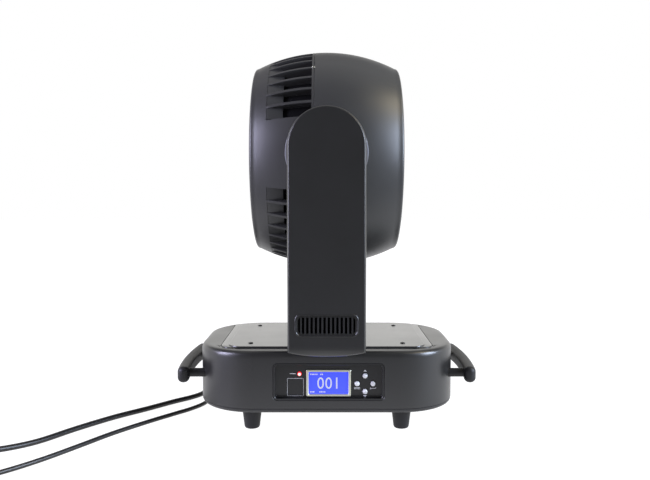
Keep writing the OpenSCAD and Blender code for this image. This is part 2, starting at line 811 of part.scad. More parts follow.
// Pivot disc and hollow shaft in one casting
module trunnion(shaft_out) {
    color("#7f8186") translate([0, 0, tilt_z]) turned_y() difference() {
        union() {
            translate([0, disc_in]) square([pivot_r, disc_out - disc_in]);
            square([trunnion_r, shaft_out]);
        }
        translate([0, -1]) square([trunnion_bore_r, shaft_out + 2]);
        square([pivot_r + 1, disc_in]);
        translate([0, disc_in - 1]) square([pivot_r - 4, disc_out - disc_in - 5]);
    }
}
module trunnion_near() { rotate(180) trunnion(tilt_pulley_in + pulley_h + 1); }
module trunnion_far() { trunnion(bearing_boss_out + 6); }

module tilt_pulley() {
    color("#9b9da1") translate([0, 0, tilt_z]) rotate(180) translate([0, tilt_pulley_in, 0])
        turned_y() wheel_profile(trunnion_r, tilt_pulley_r, pulley_h, groove_h);
}

module pivot_cut() {
    translate([0, 0, tilt_z]) rod_y(-head_mid_r - 10, 2 * head_mid_r + 20, pivot_r + 0.3);
}

module vent_wedge(a) {
    half = vent_pitch / 2 - slat_angle / 2;
    r0 = head_end_r - 15;
    r1 = head_mid_r + 10;
    polygon([for (p = [[r0, -half], [r1, -half], [r1, half], [r0, half]])
        [p[0] * cos(a + p[1]), p[0] * sin(a + p[1])]]);
}

module rear_shell() {
    inner_end = -head_half + head_wall;
    color("#444447") translate([0, 0, tilt_z]) difference() {
        union() {
            difference() {
                turned_x() polygon(concat(
                    barrel_line(seam_x, -end_x, 0),
                    [for (a = [0:30:90])
                        [barrel(end_x) - edge_r + edge_r * cos(a), -end_x - edge_r * sin(a)]],
                    [[fan_bore_r - 4, -head_half], [fan_bore_r - 4, inner_end],
                     [barrel(end_x) - edge_r, inner_end]],
                    barrel_line(-end_x, seam_x - flange_t, head_wall),
                    [[flange_r, seam_x - flange_t], [flange_r, seam_x]]));
                for (a = vent_angles) outline_x(vent_x0, vent_x1 - vent_x0) vent_wedge(a);
            }
            for (a = slat_angles) rotate([a, 0, 0]) vent_slat();
            vent_ramp();
            fan_guard();
        }
        translate([0, 0, -tilt_z]) pivot_cut();
    }
}

// One slat between two vent slots, standing in from the barrel surface
module vent_slat() {
    translate([0, 0, -slat_t / 2]) linear_extrude(slat_t) polygon(concat(
        [for (p = barrel_line(vent_x0 - 1, vent_x1 + 1, 0.3)) [p[1], p[0]]],
        [for (p = barrel_line(vent_x1 + 1, vent_x0 + 8, slat_depth)) [p[1], p[0]]]));
}

// Sloping floor at the rear end of the slots, all the way round
module vent_ramp() {
    turned_x() polygon([[barrel(vent_x0 - 1) - 1, vent_x0 - 1], [barrel(ramp_x) - 7, ramp_x],
        [barrel(ramp_x) - 9, ramp_x], [barrel(vent_x0 - 3) - head_wall - 0.5, vent_x0 - 3],
        [barrel(vent_x0 - 3) - 1, vent_x0 - 3]]);
}

// Rings and spokes over the fan opening
module fan_guard() {
    for (r = [18, 30, 42]) translate([-head_half, 0, 0]) turned_x() translate([r, 0]) square([2.4, 2]);
    for (a = [0:45:135]) rotate([a, 0, 0]) translate([-head_half, -fan_bore_r + 3, -1.2])
        cube([2, 2 * fan_bore_r - 6, 2.4]);
}

module front_shell() {
    color("#3f3f42") translate([0, 0, tilt_z]) difference() {
        turned_x() polygon(concat(
            barrel_line(seam_x, end_x, 0),
            [for (a = [0:30:90]) [barrel(end_x) - edge_r + edge_r * cos(a), end_x + edge_r * sin(a)]],
            [[lip_r, head_half], [lip_r, head_half - head_wall],
             [barrel(end_x) - edge_r, head_half - head_wall]],
            barrel_line(end_x, front_flange_x + flange_t, head_wall),
            [[flange_r, front_flange_x + flange_t], [flange_r, front_flange_x],
             [barrel(front_flange_x) - head_wall, front_flange_x],
             [barrel(seam_x) - head_wall, seam_x]]));
        translate([0, 0, -tilt_z]) pivot_cut();
        shell_screw_holes();
    }
}

module shell_screw_holes() {
    for (a = screw_angles) rotate([a, 0, 0]) translate([chassis_x + chassis_t / 2, 0, 0])
        rod_y(chassis_r - shell_screw_l, shell_screw_l + 20, shell_screw_r);
}

// Screws through the edge of the front shell into the rim of the chassis plate
module shell_screws() {
    out = barrel(chassis_x + chassis_t / 2) + 0.2;
    color("#c4c4c0") translate([0, 0, tilt_z]) for (a = screw_angles)
        rotate([a, 0, 0]) translate([chassis_x + chassis_t / 2, 0, 0]) {
            rod_y(chassis_r - shell_screw_l, out - chassis_r + shell_screw_l, shell_screw_r);
            rod_y(out, 0.9, shell_screw_r + 0.5);
        }
}

module front_ring() {
    color("#1f1f21") translate([0, 0, tilt_z]) turned_x()
        translate([carrier_r + 1.5, head_half - head_wall - 8]) square([lip_r + 2 - carrier_r - 1.5, 8]);
}

// Round plate that carries the shells, with a bracket for each trunnion
module head_chassis() {
    bracket = disc_in - bracket_t;
    color("#97999d") translate([0, 0, tilt_z]) {
        difference() {
            outline_x(chassis_x, chassis_t) intersection() {
                circle(chassis_r);
                square([2 * bracket, 2 * chassis_r + 2], center = true);
            }
            for (a = [90, 270]) rotate([a, 0, 0]) translate([0, wire_hole_r, 0])
                rod_x(chassis_x - 1, chassis_t + 2, 8);
            shell_screw_holes();
        }
        for (y = [-disc_in, bracket]) difference() {
            translate([chassis_x, y, -bracket_half]) cube([bracket_l, bracket_t, 2 * bracket_half]);
            rod_y(y - 1, bracket_t + 2, trunnion_bore_r);
        }
    }
}

module heatsink() {
    color("#a2a4a8") translate([0, 0, tilt_z]) {
        translate([chassis_x - sink_base_t, -sink_w / 2, -sink_w / 2]) cube([sink_base_t, sink_w, sink_w]);
        for (i = [0:sink_fins - 1])
            translate([sink_x0, -sink_w / 2 + i * (sink_w - sink_fin_t) / (sink_fins - 1), -sink_w / 2])
                cube([chassis_x - sink_base_t - sink_x0 + eps, sink_fin_t, sink_w]);
    }
}

// Centres (Y, Z) of the lenses: one in the middle and three hexagonal rings round it
lens_at = concat([[0, 0]], [for (ring = [1:lens_rings]) for (side = [0:5]) for (i = [0:ring - 1])
    let (a = 60 * side, b = a + 120)
    [lens_pitch * (ring * cos(a) + i * cos(b)), lens_pitch * (ring * sin(a) + i * sin(b))]]);

// Hexagonal board with one light-emitting chip behind each lens
module led_board() {
    front = chassis_x + chassis_t;
    color("#e8e8e4") translate([0, 0, tilt_z]) {
        outline_x(front, pcb_t) circle(lens_rings * lens_pitch + 9, $fn = 6);
        for (p = lens_at)
            translate([front + pcb_t - eps, p[0] - led_chip / 2, p[1] - led_chip / 2])
                cube([1.5, led_chip, led_chip]);
    }
}

module fan_frame() {
    color("#1c1c1e") translate([fan_x, 0, tilt_z]) {
        difference() {
            outline_x(0, fan_t) round_rect(fan_w, fan_w, 5);
            rod_x(-1, fan_t + 2, fan_bore_r);
        }
        for (a = [0:90:270]) rotate([a + 45, 0, 0]) translate([fan_t - 3, 16, -2])
            cube([3, fan_bore_r - 14, 4]);
        rod_x(fan_t - 3, 3, 18);
        rod_x(4, fan_t - 4, 3);
    }
}

module fan_rotor() {
    blades = 7;
    color("#29292b") translate([fan_x, 0, tilt_z]) {
        difference() {
            rod_x(2, fan_t - 7, 20);
            rod_x(3.5, fan_t, 3 + run_fit);
        }
        for (i = [0:blades - 1]) rotate([360 * i / blades, 0, 0]) translate([fan_t / 2 - 1.5, 19, 0])
            rotate([0, 40, 0]) translate([-1, 0, -9]) cube([2, 34, 18]);
    }
}

module zoom_carrier() {
    color("#1e1e20") translate([0, 0, tilt_z]) difference() {
        outline_x(carrier_x, carrier_t) difference() {
            circle(carrier_r);
            for (p = lens_at) translate(p) circle(lens_hole_r);
        }
        for (a = rod_angles) rotate([a, 0, 0]) translate([0, rod_ring_r, 0])
            rod_x(carrier_x - 1, carrier_t + 2, rod_r + run_fit);
        for (a = lead_angles) rotate([a, 0, 0]) translate([0, rod_ring_r, 0])
            rod_x(carrier_x - 1, carrier_t + 2, rod_r + 0.4);
    }
}

module zoom_lenses() {
    color("#dfe8f0") translate([carrier_x + carrier_t, 0, tilt_z]) for (p = lens_at)
        translate([0, p[0], p[1]]) rod_x(0, lens_h, lens_r);
}

module guide_rods() {
    x0 = chassis_x + chassis_t;
    color("#c8c9cc") translate([0, 0, tilt_z]) for (a = rod_angles) rotate([a, 0, 0])
        translate([0, rod_ring_r, 0]) rod_x(x0, rod_x1 - x0, rod_r);
}

module zoom_screw(a) {
    x0 = chassis_x + chassis_t + 4;
    color("#b08a4a") translate([0, 0, tilt_z]) rotate([a, 0, 0])
        translate([0, rod_ring_r, 0]) rod_x(x0, screw_x1 - x0, rod_r);
}
module zoom_screw_a() { zoom_screw(lead_angles[0]); }
module zoom_screw_b() { zoom_screw(lead_angles[1]); }

module zoom_motors() {
    x0 = chassis_x + chassis_t;
    color("#3c3d40") translate([0, 0, tilt_z]) for (a = lead_angles) rotate([a, 0, 0])
        translate([0, rod_ring_r, 0]) difference() {
            rod_x(x0, zoom_motor_l, zoom_motor_r);
            rod_x(x0 + 3, zoom_motor_l, rod_r + run_fit);
        }
}

// ---- leads ----

function unit(v) = v / norm(v);
function along(pts, i) = unit(pts[min(i + 1, len(pts) - 1)] - pts[max(i - 1, 0)]);
// Point at t between points i and i + 1 of a smooth curve through the route
function smooth(pts, i, t) = let (
        n = len(pts) - 1,
        p0 = i == 0 ? 2 * pts[0] - pts[1] : pts[i - 1],
        p1 = pts[i], p2 = pts[i + 1],
        p3 = i + 2 > n ? 2 * pts[n] - pts[n - 1] : pts[i + 2])
    0.5 * (2 * p1 + t * (p2 - p0) + t * t * (2 * p0 - 5 * p1 + 4 * p2 - p3)
           + t * t * t * (3 * p1 - p0 - 3 * p2 + p3));
// Points of the curve no further apart than ring_gap
function smooth_line(pts) = concat(
    [for (i = [0:len(pts) - 2]) let (n = ceil(norm(pts[i + 1] - pts[i]) / ring_gap))
        for (k = [0:n - 1]) smooth(pts, i, k / n)],
    [pts[len(pts) - 1]]);

// Round lead swept along its own route as one closed solid
module lead(route, d, sides = 8) {
    pts = smooth_line(route);
    n = len(pts);
    points = [for (i = [0:n - 1]) let (
            f = along(pts, i),
            side = unit(cross([0, 0, 1], f)),
            up = cross(f, side))
        for (k = [0:sides - 1]) let (a = 360 * (k + 0.5) / sides)
            pts[i] + d / 2 * (cos(a) * side + sin(a) * up)];
    faces = concat(
        [[for (k = [0:sides - 1]) k]],
        [for (i = [0:n - 2], k = [0:sides - 1]) let (m = (k + 1) % sides)
            [i * sides + k, (i + 1) * sides + k, (i + 1) * sides + m, i * sides + m]],
        [[for (k = [0:sides - 1]) n * sides - 1 - k]]);
    polyhedron(points, faces);
}

module mains_lead() { color("#161617") lead(mains_pts, mains_d); }
module signal_lead() { color("#1a1a1b") lead(signal_pts, signal_d); }

// Outer shape of a round coil, standing on the floor
module coil(at, r, d, turns) {
    translate([at[0], at[1], 0]) rotate_extrude()
        translate([r - d / 2, 0]) square([d, turns * (d + turn_gap) + d]);
}
module mains_coil() { color("#161617") coil(mains_coil_at, mains_coil_r, mains_d, mains_turns); }
module signal_coil() { color("#1a1a1b") coil(signal_coil_at, signal_coil_r, signal_d, signal_turns); }

// The last of a lead along +Y: flat on the floor, then rising into its connector
module lead_tail(d, flat, run, top) {
    z0 = d / 2;
    translate([0, 0, z0]) rod_y(0, flat, d / 2);
    translate([0, flat - 0.5, z0 + 0.05]) rotate([-atan2(run, top - z0), 0, 0])
        cylinder(h = sqrt(run * run + (top - z0) * (top - z0)), r = d / 2 - 0.05);
}

// Straight moulded plug with a tapered neck and two round pins
module mains_plug() {
    color("#161617") translate([mains_coil_at[0] - mains_coil_r, mains_coil_at[1], 0]) {
        lead_tail(mains_d, tail_flat, plug_run, plug_r);
        translate([0, tail_flat + plug_run - 4, plug_r]) {
            turned_y() polygon([[0, 0], [mains_d / 2 + 2, 0], [plug_r - 5, 16], [plug_r - 1, 19],
                [plug_r, 23], [plug_r, 38], [0, 38]]);
            for (x = [-9.5, 9.5]) translate([x, 0, 0]) rod_y(37, 20, 2.4);
        }
    }
}

// Round cable connector, turned to point along +Y from y
module round_connector(y, body_r, body_l) {
    translate([0, y, 0]) turned_y() polygon([[0, 0], [signal_d / 2 + 1, 0], [body_r - 2, 16],
        [body_r, 18], [body_r, 16 + body_l], [0, 16 + body_l]]);
}
module signal_plug() {
    color("#8b8d91") translate([socket_x, signal_pts[0][1], lead_z]) rotate(180) {
        round_connector(0, socket_bore_r + 1, signal_pts[0][1] - rear_out - 2 - 16);
        rod_y(signal_pts[0][1] - rear_out - 2 - eps, 2 + 14, socket_bore_r);
    }
}
module signal_end() {
    color("#8b8d91") translate([signal_coil_at[0], signal_coil_at[1] - signal_coil_r, 0]) rotate(90) {
        lead_tail(signal_d, tail_flat, end_run, end_r);
        translate([0, 0, end_r]) round_connector(tail_flat + end_run - 3, end_r, 44);
    }
}

bottom_pan();
base_shell();
deck_plate();
deck_screws();
bearing_deck();
control_panel();
lcd_bezel();
lcd_screen();
control_board();
button_up();
button_down();
button_left();
button_right();
handle_left();
handle_right();
foot_fl();
foot_fr();
foot_rl();
foot_rr();
power_supply();
pan_motor();
pan_pinion();
pan_belt();
rear_panel();
mains_gland();
signal_sockets();
pan_shaft();
pan_pulley();
yoke_frame();
yoke_cover();
arm_cover_near();
arm_cover_far();
tilt_motor();
tilt_pinion();
tilt_belt();
trunnion_near();
trunnion_far();
tilt_pulley();
rear_shell();
front_shell();
shell_screws();
front_ring();
head_chassis();
heatsink();
led_board();
fan_frame();
fan_rotor();
zoom_carrier();
zoom_lenses();
guide_rods();
zoom_screw_a();
zoom_screw_b();
zoom_motors();
mains_lead();
mains_coil();
mains_plug();
signal_plug();
signal_lead();
signal_coil();
signal_end();
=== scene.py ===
"""Moving head wash light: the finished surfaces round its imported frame. Lengths are in millimetres."""
import json
from math import asin, atan2, cos, degrees, pi, radians, sin, sqrt

import bmesh
import bpy
from mathutils import Matrix, Vector


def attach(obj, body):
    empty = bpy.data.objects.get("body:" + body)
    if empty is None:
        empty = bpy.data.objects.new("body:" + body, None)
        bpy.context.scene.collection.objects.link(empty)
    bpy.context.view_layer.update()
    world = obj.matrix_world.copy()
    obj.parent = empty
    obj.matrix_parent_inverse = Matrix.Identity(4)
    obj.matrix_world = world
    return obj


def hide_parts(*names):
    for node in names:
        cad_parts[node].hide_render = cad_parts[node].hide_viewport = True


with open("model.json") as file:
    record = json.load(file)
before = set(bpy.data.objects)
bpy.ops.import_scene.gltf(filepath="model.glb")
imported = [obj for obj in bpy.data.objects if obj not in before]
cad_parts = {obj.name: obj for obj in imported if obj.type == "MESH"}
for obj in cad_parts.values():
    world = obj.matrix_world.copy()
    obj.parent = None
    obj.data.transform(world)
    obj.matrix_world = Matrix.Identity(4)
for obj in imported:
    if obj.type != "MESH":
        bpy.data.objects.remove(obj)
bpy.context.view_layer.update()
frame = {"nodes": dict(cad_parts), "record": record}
nodes = frame["nodes"]
MM = 0.001

# ---------------------------------------------------------------- sizes of the part

BASE_W, BASE_D = 350, 218
BASE_LOW, SHELL_LOW, BASE_TOP, DECK_TOP = 28, 34, 110, 112
BASE_CORNER, TOP_FILLET, WALL = 77, 15, 3
PLATE_W, PLATE_D, PLATE_CORNER, LEDGE = 286, 172, 16, 5
PANEL_X, PANEL_Z, PANEL_W, PANEL_H = 2.5, 70, 146, 49
PANEL_FACE = -101.5                     # Y of the recessed panel face
LCD_X, LCD_Z, LCD_W, LCD_H = 2.5, 67.2, 52, 29
BUTTONS, BUTTON_OFF, BUTTON_R = (50.5, 66.1), 10.5, 3.2
LED_AT, LED_R = (-35.8, 79.3), 2.6
LEAD_Z = 60
TILT_Z, ARM_R, ARM_IN, ARM_SPLIT, ARM_OUT = 365, 46, 157, 176, 203
ARM_LOW, ARM_SAG, ARM_FOOT, ARM_TOP = 122, 6.5, 16, 370      # ARM_TOP: middle of the round top
BRIDGE_LOW, BRIDGE_TOP = 120, 186
GRILLE_Z, GRILLE_W, GRILLE_H = 162, 70, 22.5
HEAD_HALF, END_R, MID_R, EDGE_R, SEAM_X = 98, 125, 149, 4, -16
BARREL_R = (HEAD_HALF ** 2 + (MID_R - END_R) ** 2) / (2 * (MID_R - END_R))
VENT_X0, VENT_X1, RAMP_X, VENT_FROM, VENT_PITCH, SLATS = -76, -19, -55, 18, 8, 17
PIVOT_R, PIVOT_OUT, TRUNNION_R = 51, 155, 15
LENS_X, LENS_H, LENS_R, LENS_PITCH, LENS_RINGS = 63, 9, 14.8, 32, 3
LED_X = -8.95                           # face of the board under the light-emitting chips
LIP_R, FAN_X, FAN_T, BLADES = 118, -95, 25, 7
FOOT_AT, SOCKET_AT, DECK_SCREW_AT = (101, 78), (70, 53), (104, 64)      # each stands for four, mirrored
REAR_W, REAR_H = 152, 42                # opening for the rear connector panel
SIGNAL_X, GLAND_X, FUSE_X = (-60, -24), 20, 55
SHAFT_OPENING_R = 33                    # round the pan shaft, in the deck plate

# ---------------------------------------------------------------- camera

camera = bpy.data.objects.new("camera", bpy.data.cameras.new("camera"))
camera.location = (0, -0.9745, 0.308)
camera.rotation_euler = (pi / 2 - 0.06, 0, 0)
camera.data.sensor_width, camera.data.lens = 36, 37.246
camera.data.shift_x = -0.0026
camera.data.clip_start, camera.data.clip_end = 0.02, 60
bpy.context.scene.collection.objects.link(camera)
bpy.context.scene.camera = camera


# ---------------------------------------------------------------- materials

def linear(code):
    """The linear colour of an sRGB hex value."""
    parts = [int(code[i:i + 2], 16) / 255 for i in (1, 3, 5)]
    return (*[c / 12.92 if c <= 0.04045 else ((c + 0.055) / 1.055) ** 2.4 for c in parts], 1)


def add(tree, kind, settings=None, links=None):
    """A new node, with its settings and with links from other sockets to its inputs."""
    node = tree.nodes.new(kind)
    for name, value in (settings or {}).items():
        if isinstance(name, int) or name in node.inputs:
            node.inputs[name].default_value = value
        else:
            setattr(node, name, value)
    for name, socket in (links or {}).items():
        tree.links.new(socket, node.inputs[name])
    return node


def surface(name, **settings):
    """A material with one Principled shader, and its tree, shader and Object coordinates."""
    made = bpy.data.materials.new(name)
    made.use_nodes = True
    tree = made.node_tree
    tree.nodes.clear()
    shader = add(tree, "ShaderNodeBsdfPrincipled", settings)
    add(tree, "ShaderNodeOutputMaterial", links={"Surface": shader.outputs[0]})
    return made, tree, shader, add(tree, "ShaderNodeTexCoord").outputs["Object"]


def grained(name, low, high, rough, grain_mm, depth_mm, patch_mm=60, spread=0.06, coat=0.0, specular=0.5,
            stretch=(1, 1, 1), metallic=0.0):
    """A surface whose colour and roughness drift over patches, with a grain that stands depth_mm high."""
    made, tree, shader, place = surface(name, **{"Specular IOR Level": specular, "Coat Weight": coat,
                                                 "Coat Roughness": 0.12, "Metallic": metallic})
    along = add(tree, "ShaderNodeMapping", {"Scale": stretch}, {"Vector": place}).outputs[0]
    patches = add(tree, "ShaderNodeTexNoise", {"Scale": 1000 / patch_mm, "Detail": 3.0, "Roughness": 0.55},
                  {"Vector": along})
    grain = add(tree, "ShaderNodeTexNoise", {"Scale": 1000 / grain_mm, "Detail": 2.0, "Roughness": 0.5},
                {"Vector": along})
    shade = add(tree, "ShaderNodeMix", {"data_type": "RGBA", 6: linear(low), 7: linear(high)},
                {0: patches.outputs[0]})
    gloss = add(tree, "ShaderNodeMapRange", {"To Min": rough - spread, "To Max": rough + spread},
                {"Value": patches.outputs[0]})
    bump = add(tree, "ShaderNodeBump", {"Strength": 0.6, "Distance": depth_mm * MM},
               {"Height": grain.outputs[0]})
    tree.links.new(shade.outputs[2], shader.inputs["Base Color"])
    tree.links.new(gloss.outputs[0], shader.inputs["Roughness"])
    tree.links.new(bump.outputs[0], shader.inputs["Normal"])
    return made


def metal(name, low, high, rough, grain_mm, depth_mm, stretch=(1, 1, 1), spread=0.06):
    return grained(name, low, high, rough, grain_mm, depth_mm, 40, spread, stretch=stretch, metallic=1.0)


def lamp(name, colour, glow, strength, rough):
    return surface(name, **{"Base Color": linear(colour), "Roughness": rough, "Emission Color": linear(glow),
                            "Emission Strength": strength})[0]


FINISH = {
    # ABS moulded in a spark-eroded tool: satin, with a grain too fine to see, so it is drawn at 0.8 mm
    "base_plastic": grained("abs_black_spark_textured", "#171717", "#1e1e1e", 0.33, 0.8, 0.02, specular=0.62),
    "yoke_plastic": grained("abs_black_satin", "#161616", "#1c1c1c", 0.34, 0.9, 0.015, specular=0.5),
    # ABS with a finer, softer texture: charcoal, with broad soft highlights
    "head_plastic": grained("abs_charcoal_satin", "#2a2a2a", "#323231", 0.38, 0.9, 0.015, 80, specular=0.5),
    # Powder coat on sheet steel: semi-gloss with an orange peel of about 2 mm
    "deck_paint": grained("powder_coat_black_semi_gloss", "#202022", "#262628", 0.30, 2.2, 0.03, 70,
                          coat=0.3),
    "pan_paint": grained("powder_coat_black", "#1b1b1c", "#222223", 0.42, 1.6, 0.03, 60),
    # Polycarbonate sheet with a matt print: smooth and dark
    "panel_plastic": grained("polycarbonate_overlay_black", "#0e0e0f", "#131314", 0.33, 0.6, 0.006, 50),
    # Anodised aluminium, satin: fine lines along X
    "bezel_silver": metal("anodised_aluminium_satin", "#c6c6b4", "#d8d8c6", 0.44, 1.2, 0.01, (0.08, 1, 1)),
    # Soft-touch plastic: no gloss
    "grip_plastic": grained("pp_black_soft_touch", "#151516", "#1d1d1f", 0.5, 0.7, 0.03, 30, specular=0.35),
    # Natural rubber, moulded: dull with dust in its pores
    "foot_rubber": grained("rubber_black_moulded", "#141416", "#1d1d20", 0.55, 0.8, 0.05, 12, specular=0.3),
    "psu_steel": metal("zinc_plated_steel", "#8d8f92", "#b4b6b8", 0.35, 6, 0.02, spread=0.1),
    "motor_black": grained("enamel_black_motor", "#18191b", "#202124", 0.38, 1.5, 0.03, 30),
    "alu_turned": metal("aluminium_machined", "#9a9ca0", "#b8babd", 0.32, 0.8, 0.01, (1, 1, 0.1)),
    "belt_rubber": grained("neoprene_belt", "#101011", "#19191a", 0.6, 1.0, 0.05, 15),
    "socket_plastic": grained("pa66_glass_filled_black", "#121213", "#1a1a1b", 0.45, 0.6, 0.02, 20),
    "steel_turned": metal("steel_turned", "#85878b", "#a3a5a8", 0.28, 0.7, 0.01, (1, 1, 0.1)),
    "frame_steel": metal("steel_galvanised", "#7b7e82", "#a4a7aa", 0.42, 14, 0.01, spread=0.12),
    # Zinc die casting, painted, with its turned rim left bare
    "pivot_cast": metal("zinc_die_cast", "#7a7b80", "#90919a", 0.34, 1.4, 0.02),
    "screw_steel": metal("stainless_steel_screws", "#9c9b95", "#c9c8c0", 0.25, 0.9, 0.01),
    "carrier_plastic": grained("pc_abs_black_matt", "#101011", "#171718", 0.5, 0.8, 0.02, 40),
    "heatsink_alu": metal("aluminium_extruded_black_anodised", "#2c2d30", "#3a3b3f", 0.42, 1.0, 0.01,
                          (0.1, 1, 1)),
    "fan_plastic": grained("pbt_black_fan", "#141415", "#1b1b1d", 0.42, 0.8, 0.02, 30),
    "screw_brass": metal("brass_rolled_thread", "#a0803c", "#c09a52", 0.28, 1.6, 0.1, (3, 0.4, 0.4)),
    # PVC sheath, extruded: smooth and slightly waxy
    "lead_pvc": grained("pvc_sheath_black", "#0d0d0e", "#131314", 0.36, 3.0, 0.02, 40),
    "plug_plastic": grained("pvc_plug_black_moulded", "#101011", "#171718", 0.45, 0.8, 0.02, 20),
    "connector_metal": metal("nickel_plated_zinc", "#85868a", "#a6a7aa", 0.24, 1.0, 0.01),
    "button_plastic": grained("abs_light_grey_keys", "#c2c2c4", "#d2d2d4", 0.32, 0.5, 0.004, 10),
    # Glass-epoxy board under green solder mask
    "circuit_board": grained("fr4_green_mask", "#0f3d27", "#17563a", 0.3, 0.9, 0.01, 6),
    "board_white": grained("aluminium_board_white_mask", "#d2d2cc", "#e4e4de", 0.3, 0.9, 0.01, 20),
    # Cast acrylic lens: clear, a little green in its depth
    "lens_clear": surface("acrylic_lens_clear", **{
        "Base Color": linear("#eef4f4"), "Roughness": 0.03, "IOR": 1.49, "Transmission Weight": 1.0})[0],
    # Transflective display with an even blue back light
    "lcd": lamp("lcd_blue_backlit", "#2b38c8", "#3f50f0", 0.72, 0.12),
}
# The same screws, blackened: only their edges catch the light
SCREW_BLACK = metal("stainless_steel_blackened", "#3b3b3d", "#545456", 0.3, 0.9, 0.01)
# Open-cell polyurethane foam, black: it takes nearly all the light
FILTER_FOAM = grained("pu_filter_foam_black", "#060607", "#0d0d0e", 0.9, 1.4, 0.3, 10, specular=0.1)
SEGMENT_LIT = lamp("lcd_segment_lit", "#8f9094", "#cfcfc6", 0.5, 0.3)
LED_PHOSPHOR = lamp("led_phosphor_yellow", "#d8c24a", "#d8c24a", 0.0, 0.35)
PRINT_WHITE = lamp("silk_screen_white", "#b9b9bb", "#000000", 0.0, 0.5)

# Red epoxy lamp, lit: its chip shows white through the middle
LED_RED, led_tree, led_shader, led_spot = surface("led_epoxy_red_lit", **{
    "Base Color": linear("#c02028"), "Roughness": 0.15, "Emission Strength": 1.6})
led_middle = add(led_tree, "ShaderNodeMapping",
                 {"Location": (-LED_AT[0] * MM, 0, -LED_AT[1] * MM), "Scale": (1, 0, 1)},
                 {"Vector": led_spot})
led_reach = add(led_tree, "ShaderNodeVectorMath", {"operation": "LENGTH"}, {0: led_middle.outputs[0]})
led_fall = add(led_tree, "ShaderNodeMapRange", {"From Min": 0.001, "From Max": 0.0023},
               {"Value": led_reach.outputs["Value"]})
led_glow = add(led_tree, "ShaderNodeMix", {"data_type": "RGBA", 6: linear("#fff4f0"), 7: linear("#e8202c")},
               {0: led_fall.outputs[0]})
led_tree.links.new(led_glow.outputs[2], led_shader.inputs["Emission Color"])
for node_name, node in nodes.items():
    slot_name = next(s["material_slot"] for s in frame["record"]["subparts"] if s["node"] == node_name)
    node.data.materials.clear()
    node.data.materials.append(FINISH[slot_name])


# ---------------------------------------------------------------- shapes: (points in mm, faces)

def between(a, b, n):
    return [a + (b - a) * i / n for i in range(n + 1)]


def arc(cx, cy, r, first, last, steps, rise=None):
    """Points along a round of radius r or, with another rise, along an oval."""
    turn = [radians(a) for a in between(first, last, steps)]
    return [(cx + r * cos(a), cy + (rise or r) * sin(a)) for a in turn]


def rounded(w, d, r, steps=10, near=1.0):
    """A rounded rectangle round the origin, with a point near each end of its straight sides."""
    line = []
    for k, (sx, sy) in enumerate(((1, 1), (-1, 1), (-1, -1), (1, -1))):
        cx, cy, first = sx * (w / 2 - r), sy * (d / 2 - r), 90 * k
        bend = arc(cx, cy, r, first, first + 90, steps)
        along = (-sin(radians(first)), cos(radians(first)))
        after = (-sin(radians(first + 90)), cos(radians(first + 90)))
        line += [(bend[0][0] - along[0] * near, bend[0][1] - along[1] * near)] + bend
        line += [(bend[-1][0] + after[0] * near, bend[-1][1] + after[1] * near)]
    return line


def loft(rings, caps=(True, True), loop=False):
    """Faces between rings with the same number of points each."""
    n = len(rings[0])
    points = [p for ring in rings for p in ring]
    faces = []
    for k in range(len(rings) if loop else len(rings) - 1):
        a, b = k * n, (k + 1) % len(rings) * n
        faces += [(a + i, a + (i + 1) % n, b + (i + 1) % n, b + i) for i in range(n)]
    if not loop and caps[0]:
        faces.append(tuple(range(n))[::-1])
    if not loop and caps[1]:
        faces.append(tuple(range(len(points) - n, len(points))))
    return points, faces


def strip(columns, rows):
    """Faces between the rows of an open grid of points."""
    return [(k * columns + c, k * columns + c + 1, (k + 1) * columns + c + 1, (k + 1) * columns + c)
            for k in range(rows - 1) for c in range(columns - 1)]


def lathe(profile, steps=64, loop=False):
    """A profile of (radius, height) turned about Z. A loop is a closed section, as of a tube."""
    turn = [2 * pi * i / steps for i in range(steps)]
    return loft([[(r * cos(a), r * sin(a), z) for a in turn] for r, z in profile],
                (profile[0][0] > 0, profile[-1][0] > 0), loop)


def drill(r, low, high):
    """The profile of a round hole or rod."""
    return [(0, low), (r, low), (r, high), (0, high)]


def block(x0, y0, z0, x1, y1, z1, edge=0.4):
    """A box with chamfered edges."""
    cx, cy, w, d = (x0 + x1) / 2, (y0 + y1) / 2, x1 - x0, y1 - y0
    rings = []
    for z, inset in ((z0, edge), (z0 + edge, 0), (z1 - edge, 0), (z1, edge)):
        a, b, c = w / 2 - inset, d / 2 - inset, edge
        outline = ((a, c - b), (a, b - c), (a - c, b), (c - a, b),
                   (-a, b - c), (-a, c - b), (c - a, -b), (a - c, -b))
        rings.append([(cx + x, cy + y, z) for x, y in outline])
    return loft(rings)


def moved(shape, matrix):
    return [tuple(matrix @ Vector(p)) for p in shape[0]], shape[1]


def at(x, y, z):
    return Matrix.Translation((x, y, z))


TO_X = Matrix(((0, 0, 1, 0), (1, 0, 0, 0), (0, 1, 0, 0), (0, 0, 0, 1)))     # turns local Z to +X and X to +Y
TO_FRONT = Matrix.Rotation(pi / 2, 4, "X")      # turns local Z to -Y
TO_BACK = Matrix.Rotation(-pi / 2, 4, "X")      # turns local Z to +Y
HALF_TURN = Matrix.Rotation(pi, 4, "Z")
HEAD = at(0, 0, TILT_Z)
HEAD_X = HEAD @ TO_X                            # heights of a profile run along the head's own axis
HEAD_CENTRE = (0, 0, TILT_Z * MM)


